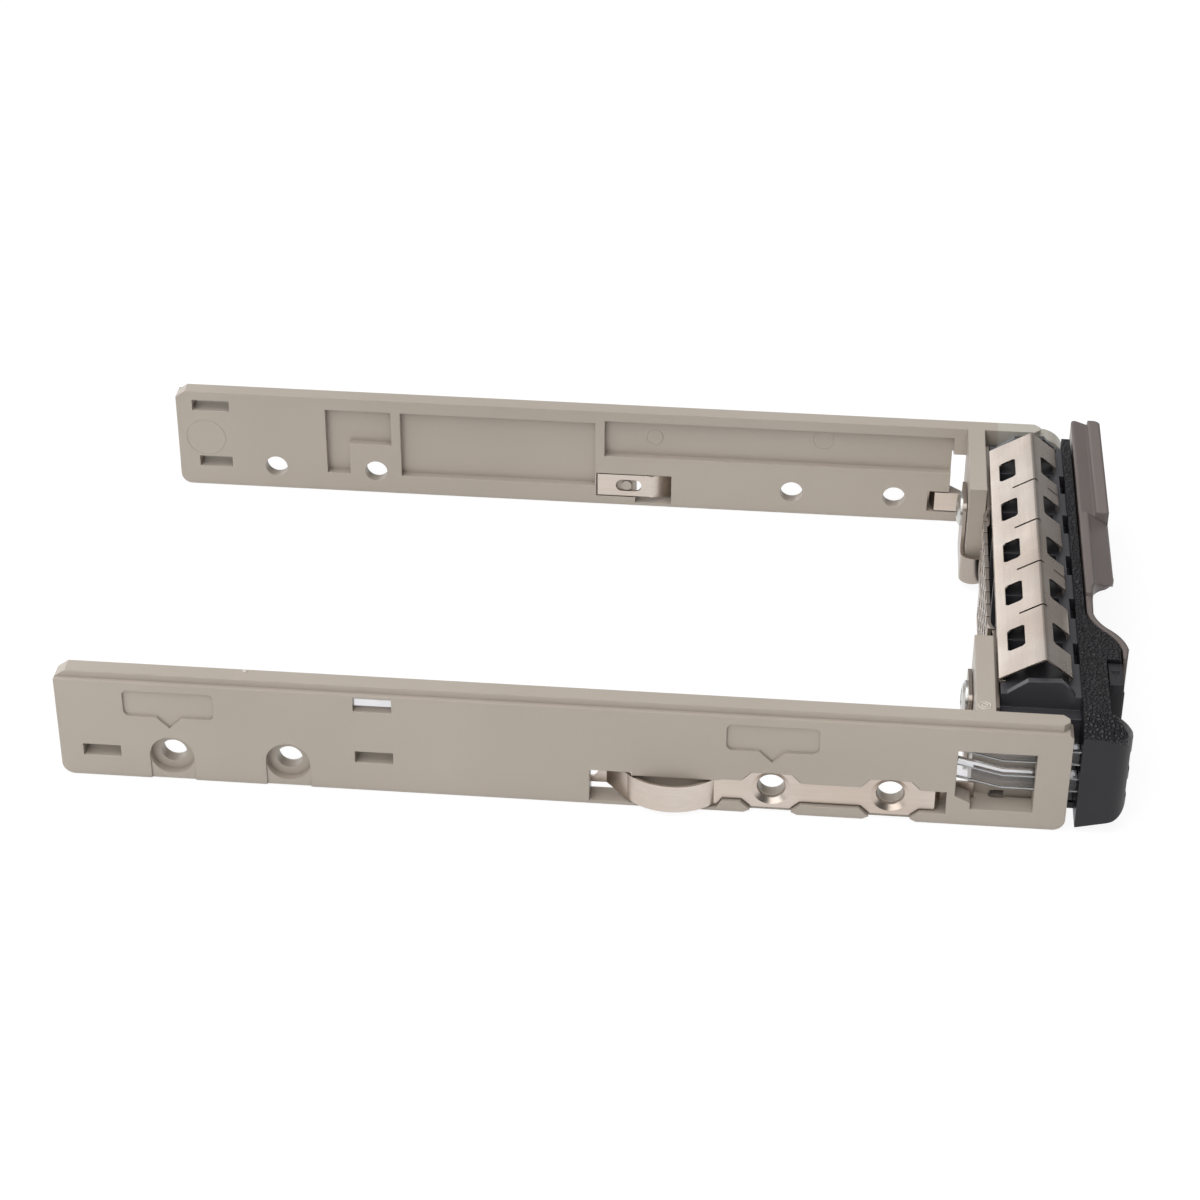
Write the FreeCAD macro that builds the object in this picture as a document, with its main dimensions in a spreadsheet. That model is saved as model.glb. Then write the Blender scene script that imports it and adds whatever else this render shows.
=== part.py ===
import FreeCAD, Part
import os
from types import SimpleNamespace

import Sketcher

# Carrier for a 2.5-inch drive: two moulded rails with cross arms, a black front module with a
# finger spring, a front cover, and an ejector handle held by a sliding button.
# X runs to the right seen from the front, Y to the rear, Z up. Lengths are in millimetres.
# Every outline counts Y from the foremost drive screw hole. The pieces are then moved along Y
# so that the origin lies under the middle of the carrier.

SIZES = {
    # The drive and its side holes
    "drive_width": 69.85,
    "drive_length": 100.45,
    "screw_from_rear": 14.0,
    "screw_from_front": 9.85,
    "screw_height": 3.0,
    "screw_bore_radius": 1.65,
    "second_position": 15.0,
    # Play about the drive
    "side_gap": 0.275,
    "front_gap": 0.15,
    "floor_lift": 0.6,
    # Rails
    "rail_wall": 3.0,
    "rail_height": 14.6,
    "rail_tail": 0.5,
    "strip_rise": 1.0,
    "strip_setback": 0.7,
    "strip_chamfer": 0.8,
    "strip_run_out": 1.4,
    "rail_corner": 1.6,
    "left_nose": 9.6,
    "left_nose_corner": 0.5,
    "right_nose": 11.6,
    "right_nose_corner": 3.6,
    "arm_depth": 2.4,
    "arm_reach": 16.9,
    "arm_foot": 1.0,
    "arm_corner": 2.4,
    "head_recess_radius": 2.85,
    "head_recess_depth": 1.3,
    "groove_depth": 0.2,
    "plate_recess_width": 11.6,
    "plate_recess_height": 3.9,
    "plate_recess_rise": 5.9,
    "plate_recess_tip": 1.6,
    "plate_recess_depth": 0.35,
    "plate_recess_corner": 0.9,
    "slot_length": 4.9,
    "slot_height": 1.7,
    "pocket_depth": 1.1,
    "pocket_rib": 1.4,
    "window_length": 9.8,
    "window_height": 8.8,
    "window_low": 2.5,
    "window_step": 1.9,
    "window_step_length": 2.0,
    "window_from_arm": 2.0,
    "guard_gap": 0.8,
    "guard_wall": 1.0,
    "guard_length": 10.0,
    # Leaf springs on the rails
    "leaf_sheet": 0.35,
    "leaf_recess": 0.9,
    "leaf_cover": 0.5,
    "leaf_margin": 0.2,
    "leaf_low": 0.6,
    "leaf_pad_height": 5.4,
    "leaf_pad_half": 2.4,
    "leaf_pad_flare": 1.2,
    "leaf_mouth": 1.8,
    "leaf_band_low": 1.7,
    "leaf_band_height": 3.0,
    "leaf_tab_length": 4.1,
    "leaf_slot_front": 7.0,
    "leaf_jog": 0.7,
    "leaf_arch_start": 7.2,
    "leaf_arch_length": 11.0,
    "leaf_arch_rise": 2.3,
    "leaf_arch_height": 3.9,
    "leaf_return": 2.8,
    "leaf_end_length": 7.6,
    "leaf_end_low": 1.5,
    "leaf_end_height": 3.5,
    "leaf_pin_radius": 0.75,
    "leaf_pin_from_end": 4.3,
    "dimple_radius": 2.5,
    "dimple_depth": 0.45,
    "dimple_hole_radius": 1.8,
    # Perforated plate between the arms
    "vent_sheet": 0.5,
    "sheet_gap": 0.1,
    "vent_low": 1.0,
    "vent_top_drop": 1.2,
    "vent_end_gap": 2.6,
    "vent_bulge": 0.7,
    "vent_bulge_half": 15.6,
    "hex_flat": 2.4,
    "hex_web": 0.6,
    "hex_low_row": 2.7,
    "tab_low": 1.1,
    "tab_height": 4.1,
    "tab_bend": 1.3,
    "tab_leg": 9.0,
    "tab_ear_rise": 6.7,
    "tab_slot_length": 9.8,
    # Screws through the arms
    "arm_screw_inset": 5.3,
    "arm_screw_z": 9.2,
    "arm_screw_radius": 1.2,
    "arm_screw_length": 8.6,
    "arm_head_radius": 2.4,
    "arm_head_height": 0.8,
    "screw_clearance": 0.2,
    "thread_gap": 0.05,
    "drive_slot": 0.7,
    "drive_slot_depth": 0.5,
    # Light pipes in the left rail
    "pipe_width": 1.4,
    "pipe_height": 2.6,
    "pipe_pitch": 4.1,
    "pipe_front_z": 10.1,
    "pipe_rise": 1.9,
    "pipe_bend_front": 1.3,
    "pipe_bend_run": 8.0,
    "pipe_play": 0.12,
    "pipe_end": 0.6,
    "pipe_bevel": 0.3,
    # Black front module
    "module_depth": 10.1,
    "module_low": 0.8,
    "module_top_drop": 0.2,
    "module_left_gap": 0.5,
    "module_right_gap": 0.5,
    "shelf_z": 13.4,
    "cheek_inset": 4.3,
    "cheek_wall": 0.9,
    "cheek_rise": 2.1,
    "duct_inset": 14.6,
    "duct_wall": 1.3,
    "duct_rib": 1.0,
    "duct_cells": 4,
    "well_width": 4.8,
    "well_length": 0.9,
    "well_depth": 2.0,
    # Finger spring on top of the module
    "finger_inset": 6.7,
    "finger_sheet": 0.25,
    "finger_pitch": 10.55,
    "finger_count": 5,
    "finger_rise": 3.85,
    "finger_rear_run": 5.75,
    "finger_front_run": 3.6,
    "finger_front_drop": 2.75,
    "finger_foot": 0.9,
    "finger_lip": 0.7,
    "finger_slit": 0.45,
    "finger_window_width": 4.8,
    "finger_corner": 0.3,
    # Front cover
    "cover_wall": 1.2,
    "cover_low": 0.6,
    "cover_rise": 0.3,
    "cover_right_inset": 5.0,
    "block_depth": 6.2,
    "sweep_start_inset": 26.2,
    "sweep_end_inset": 17.8,
    "block_corner": 2.4,
    "block_facet_width": 3.2,
    "block_facet_drop": 1.7,
    "block_belly": 1.5,
    "recess_depth": 2.8,
    "recess_right_inset": 15.5,
    "recess_left_inset": 3.2,
    "recess_floor": 1.5,
    "grille_slot": 2.2,
    "grille_pitch": 3.3,
    "grille_low": 3.4,
    "grille_height": 9.6,
    "tongue_wall": 1.3,
    "tongue_low": 1.2,
    "tongue_height": 0.9,
    "tongue_length": 5.0,
    "tongue_gap": 0.15,
    "cover_screw_inset": 4.8,
    "cover_screw_z": 4.1,
    "cover_screw_radius": 0.9,
    "cover_screw_length": 7.4,
    "cover_head_radius": 1.7,
    "cover_head_height": 1.1,
    "cover_head_sink": 4.4,
    # Ejector handle and its hinge
    "lever_gap": 0.3,
    "lever_depth": 4.1,
    "lever_low": 0.8,
    "lever_rise": 0.8,
    "lever_right_inset": 0.2,
    "lever_wall": 1.2,
    "lever_flange": 1.8,
    "lever_top_flange": 3.0,
    "lever_wing_step": 10.0,
    "lever_tail_wall": 0.8,
    "lever_tail_inset": 16.0,
    "lever_heel_round": 1.0,
    "lever_lip_length": 25.5,
    "lever_lip_step": 0.7,
    "lever_sweep_slope": 0.72,
    "lever_sweep_tip": 1.8,
    "lever_window_pitch": 3.3,
    "hinge_heel": 1.7,
    "hinge_set_back": 1.2,
    "pin_radius": 0.8,
    "pin_play": 0.05,
    "boss_radius": 1.5,
    "part_gap": 0.2,
    "ear_height": 2.6,
    "hub_height": 3.0,
    "coil_space": 1.8,
    "hook_reach": 1.6,
    "hook_tang": 11.0,
    "hook_sheet": 1.1,
    "hook_notch": 2.0,
    "rivet_radius": 0.8,
    "rivet_head_radius": 1.4,
    "rivet_head": 0.5,
    "coil_wire": 0.18,
    "coil_turns": 2,
    "coil_leg": 6.5,
    # Release button
    "button_width": 4.8,
    "button_depth": 1.8,
    "button_top_drop": 0.5,
    "button_play": 0.2,
    "button_travel": 2.6,
    "button_tenon_depth": 2.0,
    "button_head_step": 0.5,
    "recess_wall": 0.4,
    "button_tenon_height": 2.4,
    "button_tenon_low": 6.4,
    "catch_length": 3.4,
    "catch_wall": 0.9,
    "catch_low": 6.5,
    "catch_height": 3.0,
    "catch_bite": 2.0,
    "spring_radius": 0.6,
    "spring_wire": 0.15,
    "spring_turns": 5,
    "spring_length": 6.4,
}


class Size:
    """A number that remembers the sheet expression it is worked out with."""

    def __init__(self, number, text):
        self.number = float(number)
        self.text = text

    def __add__(self, other):
        other = as_size(other)
        return Size(self.number + other.number, f"({self.text} + {other.text})")

    def __sub__(self, other):
        other = as_size(other)
        return Size(self.number - other.number, f"({self.text} - {other.text})")

    def __mul__(self, other):
        other = as_size(other)
        return Size(self.number * other.number, f"({self.text} * {other.text})")

    def __truediv__(self, other):
        other = as_size(other)
        return Size(self.number / other.number, f"({self.text} / {other.text})")

    def __neg__(self):
        return Size(-self.number, f"(0 - {self.text})")

    __radd__ = __add__
    __rmul__ = __mul__

    def __rsub__(self, other):
        return as_size(other) - self


def as_size(value):
    """A plain number as a Size."""
    if isinstance(value, Size):
        return value
    return Size(value, f"({float(value)})")


def whole(size):
    """The size rounded down to a whole number."""
    return Size(size.number // 1, f"floor({size.text})")


document = FreeCAD.newDocument("drive_caddy")
sheet = document.addObject("Spreadsheet::Sheet", "Sizes")
for row, (name, number) in enumerate(SIZES.items(), start=1):
    sheet.set(f"A{row}", name)
    sheet.set(f"B{row}", str(number))
    sheet.setAlias(f"B{row}", name)
document.recompute()
s = SimpleNamespace(**{name: Size(number, f"Sizes.{name}") for name, number in SIZES.items()})

# Places that several pieces share
hole_z = s.floor_lift + s.screw_height
hole_front = as_size(0.0)
hole_second = hole_front + s.second_position
hole_rear = s.drive_length - s.screw_from_rear - s.screw_from_front
hole_last = hole_rear + s.second_position
rail_inner = s.drive_width / 2 + s.side_gap
rail_outer = rail_inner + s.rail_wall
rail_top = s.rail_height + s.strip_rise
rail_rear = hole_last + s.screw_from_rear + s.rail_tail
arm_rear = -s.screw_from_front - s.front_gap
arm_front = arm_rear - s.arm_depth
arm_end = rail_inner - s.arm_reach
arm_screw_x = arm_end + s.arm_screw_inset
vent_high = rail_top - s.vent_top_drop
vent_half = rail_inner - s.vent_end_gap
vent_rear = arm_front - s.sheet_gap
vent_front = vent_rear - s.vent_sheet
module_rear = vent_front - s.sheet_gap
module_front = module_rear - s.module_depth
module_left = -(rail_inner - s.guard_gap - s.guard_wall - s.module_left_gap)
module_right = rail_inner - s.module_right_gap
module_high = rail_top - s.module_top_drop
duct_half = rail_inner - s.duct_inset
finger_half = rail_inner - s.finger_inset
cheek_outer = rail_inner - s.cheek_inset
cheek_inner = cheek_outer - s.cheek_wall
cover_high = rail_top + s.cover_rise
cover_right = rail_outer - s.cover_right_inset
cover_screw_x = rail_inner - s.cover_screw_inset
sweep_start = -(rail_outer - s.sweep_start_inset)
sweep_end = -(rail_outer - s.sweep_end_inset)
recess_left = -(rail_outer - s.recess_left_inset)
recess_right = -(rail_outer - s.recess_right_inset)
lever_high = rail_top + s.lever_rise
lever_right = rail_outer - s.lever_right_inset
lever_lip_end = lever_right - s.lever_lip_length
wing_end = sweep_start + s.lever_wing_step
tail_end = -(rail_outer - s.lever_tail_inset)
button_high = cover_high - s.button_top_drop
cover_front = module_front - s.cover_wall
block_front = module_front - s.block_depth
recess_back = block_front + s.recess_depth
lever_rear = cover_front - s.lever_gap
lever_front = lever_rear - s.lever_depth
hinge_x = lever_right - s.hinge_heel
hinge_y = lever_rear - s.hinge_set_back
window_rear = arm_rear + s.window_from_arm
window_front = window_rear - s.window_length
pipe_outer = -(rail_inner + s.pipe_width + s.pipe_play)
pipe_bend_front = arm_front - s.pipe_bend_front
pipe_bend_rear = pipe_bend_front + s.pipe_bend_run
leaf_face = rail_outer - s.leaf_cover
leaf_back = leaf_face - s.leaf_sheet
leaf_floor = rail_outer - s.leaf_recess
leaf_inner_back = rail_inner + 0.05
leaf_inner_face = leaf_inner_back + s.leaf_sheet
leaf_arch_front = hole_second + s.leaf_arch_start
leaf_arch_rear = leaf_arch_front + s.leaf_arch_length
leaf_end_start = leaf_arch_rear + s.leaf_return
leaf_end_rear = leaf_end_start + s.leaf_end_length
leaf_pin_y = leaf_end_rear - s.leaf_pin_from_end
leaf_high = s.leaf_low + s.leaf_pad_height
leaf_band_high = s.leaf_band_low + s.leaf_band_height
lower_ear = s.lever_low + s.lever_flange + s.part_gap
hub_low = lower_ear + s.ear_height + s.part_gap
coil_low = hub_low + s.hub_height
upper_ear = coil_low + s.coil_space
lever_hollow_top = lever_high - s.lever_top_flange
button_right = recess_right - s.button_play
button_left = button_right - s.button_width
button_back = recess_back - s.button_play
button_front = button_back - s.button_depth
button_middle = (button_left + button_right) / 2
tenon_right = button_middle + 1.2
tenon_back = button_back + s.button_tenon_depth
tenon_neck = recess_back + s.recess_wall + s.part_gap / 2
spring_start = button_middle - s.part_gap / 2 - s.spring_length
catch_back = button_back - s.part_gap / 2
overall_middle = (rail_rear + block_front) / 2

QUARTER_BULGE = 0.29289
NORMAL_SIGN = {"XY": 1, "XZ": -1, "YZ": 1}


# Outlines

def box(u0, u1, v0, v1):
    """A rectangle, counter-clockwise."""
    return [(u0, v0), (u1, v0), (u1, v1), (u0, v1)]


def rounded_box(u0, u1, v0, v1, radius):
    """A rectangle with four round corners."""
    bulge = radius * QUARTER_BULGE
    return [
        (u0 + radius, v0),
        (u1 - radius, v0, bulge),
        (u1, v0 + radius),
        (u1, v1 - radius, bulge),
        (u1 - radius, v1),
        (u0 + radius, v1, bulge),
        (u0, v1 - radius),
        (u0, v0 + radius, bulge),
    ]


def bevelled_box(u0, u1, v0, v1, bevel):
    """A rectangle with four straight bevelled corners."""
    return [
        (u0 + bevel, v0), (u1 - bevel, v0), (u1, v0 + bevel), (u1, v1 - bevel),
        (u1 - bevel, v1), (u0 + bevel, v1), (u0, v1 - bevel), (u0, v0 + bevel),
    ]


def oblong(u0, u1, v, radius):
    """A slot with round ends."""
    return [
        (u0 + radius, v - radius),
        (u1 - radius, v - radius, radius),
        (u1 - radius, v + radius),
        (u0 + radius, v + radius, radius),
    ]


def circle(u, v, radius):
    """A circle, marked by its single entry."""
    return [(u, v, radius)]


def mirrored(points):
    """The same outline on the other side of the vertical axis, still counter-clockwise."""
    count = len(points)
    turned = []
    for place in range(count):
        u, v = points[count - 1 - place][:2]
        bulge = points[(count - 2 - place) % count][2:]
        turned.append((-u, v) + tuple(bulge))
    return turned


def sided(points, side):
    """The outline for the right side (+1) or the left side (-1)."""
    if side > 0:
        return points
    if len(points) == 1:
        u, v, radius = points[0]
        return [(-u, v, radius)]
    return mirrored(points)


# Sketches and features

def bind(sketch, kind, element, point, size):
    """Hold a point or a radius to a size of the sheet."""
    if kind == "Radius":
        index = sketch.addConstraint(Sketcher.Constraint("Radius", element, size.number))
    else:
        index = sketch.addConstraint(
            Sketcher.Constraint(kind, -1, 1, element, point, size.number)
        )
    sketch.setExpression(f"Constraints[{index}]", size.text)


def arc_between(first, second, bulge):
    """The arc from first to second that bulges to the right of the way there."""
    along = second - first
    aside = FreeCAD.Vector(along.y, -along.x, 0).normalize()
    middle = (first + second) / 2 + aside * bulge
    return Part.Arc(first, middle, second)


def draw(sketch, points):
    """Draw one closed outline and bind each of its corners to the sheet."""
    first_element = sketch.GeometryCount
    if len(points) == 1:
        u, v, radius = [as_size(value) for value in points[0]]
        centre = FreeCAD.Vector(u.number, v.number, 0)
        sketch.addGeometry(Part.Circle(centre, FreeCAD.Vector(0, 0, 1), radius.number), False)
        bind(sketch, "DistanceX", first_element, 3, u)
        bind(sketch, "DistanceY", first_element, 3, v)
        bind(sketch, "Radius", first_element, 0, radius)
        return
    count = len(points)
    corners = [(as_size(point[0]), as_size(point[1])) for point in points]
    spots = [FreeCAD.Vector(u.number, v.number, 0) for u, v in corners]
    starts = []
    ends = []
    for place, point in enumerate(points):
        here = spots[place]
        there = spots[(place + 1) % count]
        bulge = as_size(point[2]) if len(point) == 3 else None
        if bulge is None:
            sketch.addGeometry(Part.LineSegment(here, there), False)
            starts.append(1)
            ends.append(2)
        else:
            sketch.addGeometry(arc_between(here, there, bulge.number), False)
            # An arc runs counter-clockwise, so one that bulges inward starts at its far end
            forward = bulge.number > 0
            starts.append(1 if forward else 2)
            ends.append(2 if forward else 1)
    for place, point in enumerate(points):
        element = first_element + place
        following = first_element + (place + 1) % count
        u, v = corners[place]
        bind(sketch, "DistanceX", element, starts[place], u)
        bind(sketch, "DistanceY", element, starts[place], v)
        sketch.addConstraint(
            Sketcher.Constraint(
                "Coincident", element, ends[place], following, starts[(place + 1) % count]
            )
        )
        if len(point) == 3:
            bulge = as_size(point[2])
            if bulge.number < 0:
                bulge = -bulge
            next_u, next_v = corners[(place + 1) % count]
            chord_u = next_u - u
            chord_v = next_v - v
            quarter_chord = (chord_u * chord_u + chord_v * chord_v) / 4
            radius = (quarter_chord + bulge * bulge) / (bulge * 2)
            if near(radius.number, bulge, 1e-6):
                # A half circle is held by its centre, which lies on its upright or level chord
                upright = near(chord_u.number, 0.0)
                bind(sketch, "DistanceX" if upright else "DistanceY", element, 3,
                     u if upright else v)
            else:
                bind(sketch, "Radius", element, 0, radius)


def new_body(label):
    """A body with its own label, placed so that the carrier's middle is at the origin."""
    body = document.addObject("PartDesign::Body", label)
    body.Label = label
    body.setExpression("Placement.Base.y", (-overall_middle).text)
    return body


def origin_part(body, role):
    """One of the body's own origin planes or axes."""
    return [item for item in body.Origin.OriginFeatures if item.Role == role][0]


def new_sketch(body, name, plane, level):
    """A sketch on an origin plane of the body, moved to the given level of that plane."""
    sketch = body.newObject("Sketcher::SketchObject", f"{name}_sketch")
    sketch.AttachmentSupport = [(origin_part(body, f"{plane}_Plane"), "")]
    sketch.MapMode = "FlatFace"
    level = as_size(level)
    if NORMAL_SIGN[plane] < 0:
        level = -level
    sketch.setExpression("AttachmentOffset.Base.z", level.text)
    return sketch


def volume_of(body):
    """The volume of the body so far."""
    return 0.0 if body.Shape.isNull() else body.Shape.Volume


def settle(body, feature, before, grows):
    """Recompute, and make sure that the feature added or removed material."""
    document.recompute()
    after = volume_of(body)
    changed = after > before + 1e-4 if grows else after < before - 1e-4
    if not changed or "Invalid" in feature.State:
        raise RuntimeError(f"{body.Label}: {feature.Name} changed {before} to {after}")
    return feature


def extrude(body, name, plane, start, end, outlines, grows):
    """Pad or pocket outlines that lie on a plane from one level to another."""
    before = volume_of(body)
    start = as_size(start)
    end = as_size(end)
    sketch = new_sketch(body, name, plane, start)
    for points in outlines:
        draw(sketch, points)
    kind = "PartDesign::Pad" if grows else "PartDesign::Pocket"
    feature = body.newObject(kind, name)
    feature.Profile = sketch
    upward = end.number > start.number
    length = end - start if upward else start - end
    feature.setExpression("Length", length.text)
    along_normal = upward == (NORMAL_SIGN[plane] > 0)
    feature.Reversed = not along_normal if grows else along_normal
    return settle(body, feature, before, grows)


def add(body, name, plane, start, end, *outlines):
    """Add material between two levels of a plane."""
    return extrude(body, name, plane, start, end, outlines, True)


def cut(body, name, plane, start, end, *outlines):
    """Remove material between two levels of a plane."""
    return extrude(body, name, plane, start, end, outlines, False)


def repeat(body, name, feature, axis, step, count, grows):
    """Repeat a feature along an axis."""
    before = volume_of(body)
    pattern = body.newObject("PartDesign::LinearPattern", name)
    pattern.Originals = [feature]
    pattern.Direction = (origin_part(body, f"{axis}_Axis"), [""])
    pattern.setExpression("Length", (step * (count - 1)).text)
    pattern.setExpression("Occurrences", as_size(count).text)
    body.Tip = pattern
    return settle(body, pattern, before, grows)


def revolve(body, name, plane, level, corner, outline, grows=True, axis="V_Axis"):
    """Turn an outline about an axis through the given corner of a plane."""
    before = volume_of(body)
    sketch = new_sketch(body, name, plane, level)
    sketch.setExpression("AttachmentOffset.Base.x", as_size(corner[0]).text)
    sketch.setExpression("AttachmentOffset.Base.y", as_size(corner[1]).text)
    draw(sketch, outline)
    kind = "PartDesign::Revolution" if grows else "PartDesign::Groove"
    feature = body.newObject(kind, name)
    feature.Profile = sketch
    feature.ReferenceAxis = (sketch, [axis])
    feature.Angle = 360.0
    return settle(body, feature, before, grows)


def edges_where(shape, wanted):
    """Names of the edges whose middle point and direction pass the test."""
    names = []
    for number, edge in enumerate(shape.Edges, start=1):
        first, last = edge.ParameterRange
        middle = edge.valueAt((first + last) / 2)
        ends = edge.valueAt(last) - edge.valueAt(first)
        if wanted(middle, ends):
            names.append(f"Edge{number}")
    return names


def dress(body, name, kind, size, wanted):
    """Fillet or chamfer the edges that pass the test."""
    base = body.Tip
    feature = body.newObject(f"PartDesign::{kind}", name)
    feature.Base = (base, edges_where(base.Shape, wanted))
    feature.setExpression("Radius" if kind == "Fillet" else "Size", as_size(size).text)
    document.recompute()
    if "Invalid" in feature.State or not feature.Base[1]:
        raise RuntimeError(f"{body.Label}: {name} found no edge or failed")
    return feature


def near(value, size, tolerance=0.02):
    """Whether a coordinate lies at a size."""
    return abs(value - as_size(size).number) < tolerance


# Rails

def rail_side_outline(nose, corner, round_corner):
    """The rail seen from the side, counter-clockwise with Y to the right."""
    front = arm_front - nose
    foot_bulge = s.rail_corner * QUARTER_BULGE
    upper = (front + corner, s.rail_height)
    if round_corner:
        upper = upper + (corner * QUARTER_BULGE,)
    return [
        (front + s.rail_corner, 0.0),
        (rail_rear - s.rail_corner, 0.0, foot_bulge),
        (rail_rear, s.rail_corner),
        (rail_rear, s.rail_height),
        upper,
        (front, s.rail_height - corner),
        (front, s.rail_corner, foot_bulge),
    ]


def plate_recess_outline(centre):
    """A shallow bare label field with a pointer to the screw hole below it."""
    left = centre - s.plate_recess_width / 2
    right = centre + s.plate_recess_width / 2
    low = hole_z + s.plate_recess_rise
    high = low + s.plate_recess_height
    radius = s.plate_recess_corner
    bulge = radius * QUARTER_BULGE
    return [
        (left + radius, low),
        (centre - s.plate_recess_tip, low),
        (centre, low - s.plate_recess_tip),
        (centre + s.plate_recess_tip, low),
        (right - radius, low, bulge),
        (right, low + radius),
        (right, high - radius / 2),
        (right - radius / 2, high),
        (left + radius / 2, high),
        (left, high - radius / 2),
        (left, low + radius, bulge),
    ]


def leaf_outline(margin, open_below):
    """The leaf spring seen from the side, grown by a margin for the recess that takes it."""
    low = s.leaf_low - margin
    high = leaf_high + margin
    band_low = s.leaf_band_low - margin
    band_high = leaf_band_high + margin
    arch_high = s.leaf_low + s.leaf_arch_height + margin
    end_low = s.leaf_end_low - margin
    end_high = s.leaf_end_low + s.leaf_end_height + margin
    front = -s.leaf_slot_front + s.leaf_jog * 2 - margin
    rear = leaf_end_rear + margin
    half = s.leaf_pad_half + margin
    flare = half + s.leaf_pad_flare
    pad_low = as_size(-0.5) if open_below else low
    mouth = half + s.leaf_mouth if open_below else half
    lower = [(front, band_low)]
    upper = []
    for centre in (hole_front, hole_second):
        lower.append((centre - flare, band_low))
        if open_below:
            lower.append((centre - half, low))
        lower.append((centre - mouth, pad_low))
        lower.append((centre + mouth, pad_low))
        if open_below:
            lower.append((centre + half, low))
        lower.append((centre + flare, band_low))
        upper.append((centre - flare, band_high))
        upper.append((centre - half, high))
        upper.append((centre + half, high))
        upper.append((centre + flare, band_high))
    arch_front = leaf_arch_front - s.leaf_sheet
    lower.append((arch_front - s.leaf_jog, band_low))
    lower.append((arch_front, low))
    lower.append((leaf_arch_rear, low))
    upper.append((arch_front - s.leaf_jog, band_high))
    upper.append((arch_front, arch_high))
    upper.append((leaf_arch_rear, arch_high))
    if not open_below:
        lower.append((leaf_end_start, end_low))
        lower.append((rear, end_low))
        upper.append((leaf_end_start, end_high))
        upper.append((rear, end_high))
    return lower + upper[::-1] + [(front, band_high)]


def make_rail(label, side):
    """One moulded side rail with its cross arm. The light pipes run in the left one."""
    body = new_body(label)
    inner = rail_inner * side
    outer = rail_outer * side
    left = side < 0
    nose = s.left_nose if left else s.right_nose
    corner = s.left_nose_corner if left else s.right_nose_corner
    front = arm_front - nose
    strip_front = front + corner
    add(body, "wall", "YZ", inner, outer, rail_side_outline(nose, corner, not left))
    strip_edge = rail_outer - s.strip_setback
    strip = [
        (rail_inner + s.strip_chamfer, strip_front),
        (strip_edge - s.strip_chamfer, strip_front),
        (strip_edge, strip_front + s.strip_chamfer),
        (strip_edge, rail_rear),
        (rail_inner, rail_rear),
        (rail_inner, strip_front + s.strip_chamfer),
    ]
    add(body, "top_strip", "XY", s.rail_height, rail_top, sided(strip, side))
    run_out = [
        (rail_rear - s.strip_run_out, rail_top),
        (rail_rear, s.rail_height),
        (rail_rear + 1, s.rail_height),
        (rail_rear + 1, rail_top + 1),
        (rail_rear - s.strip_run_out, rail_top + 1),
    ]
    cut(body, "strip_run_out", "YZ", outer + side, inner - side, run_out)
    arm_bulge = s.arm_corner * QUARTER_BULGE
    arm = [
        (arm_end + s.arm_corner, s.arm_foot),
        (rail_inner + s.guard_gap, s.arm_foot),
        (rail_inner + s.guard_gap, rail_top - s.strip_rise),
        (rail_inner, rail_top),
        (arm_end, rail_top),
        (arm_end, s.arm_foot + s.arm_corner, arm_bulge),
    ]
    add(body, "arm", "XZ", arm_rear, arm_front, sided(arm, side))
    if left:
        guard_outer = -(rail_inner - s.guard_gap)
        guard_inner = guard_outer + s.guard_wall
        guard_front = arm_rear - s.guard_length
        guard = box(guard_front, arm_rear, s.arm_foot, s.window_low + s.window_height)
        add(body, "pipe_guard", "YZ", guard_outer, guard_inner, guard)
        cut_pipe_grooves(body)
    cut_window(body, side)
    cut_outer_face(body, side)
    cut_leaf_seat(body, side)
    cut_slots(body, side)
    if not left:
        cut_inner_pockets(body)
        notch = box(front - 1, front + s.hook_notch, hub_low - 0.4, coil_low + 0.4)
        cut(body, "hook_notch", "YZ", inner - 1, outer + 1, notch)
    arm_hole = circle(arm_screw_x, s.arm_screw_z, s.arm_screw_radius + s.screw_clearance)
    cut(body, "arm_screw_hole", "XZ", arm_rear + 1, arm_front - 1, sided(arm_hole, side))
    return body


def pipe_outline(level, grow, rear, front):
    """A light pipe seen from the side: level, sloping down past the arm, level again."""
    half = s.pipe_height / 2 + grow
    high = level + s.pipe_rise
    return [
        (front, level - half),
        (pipe_bend_front, level - half),
        (pipe_bend_rear, high - half),
        (rear, high - half),
        (rear, high + half),
        (pipe_bend_rear, high + half),
        (pipe_bend_front, level + half),
        (front, level + half),
    ]


def cut_pipe_grooves(body):
    """Two grooves in the inner face of the left rail, one for each light pipe."""
    front = arm_front - s.left_nose - 1
    floor = pipe_outer - s.pipe_play
    for number, level in enumerate((s.pipe_front_z, s.pipe_front_z - s.pipe_pitch)):
        groove = pipe_outline(level, s.pipe_play, rail_rear + 1, front)
        cut(body, f"pipe_groove_{number}", "YZ", -rail_inner + s.part_gap, floor, groove)


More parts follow.
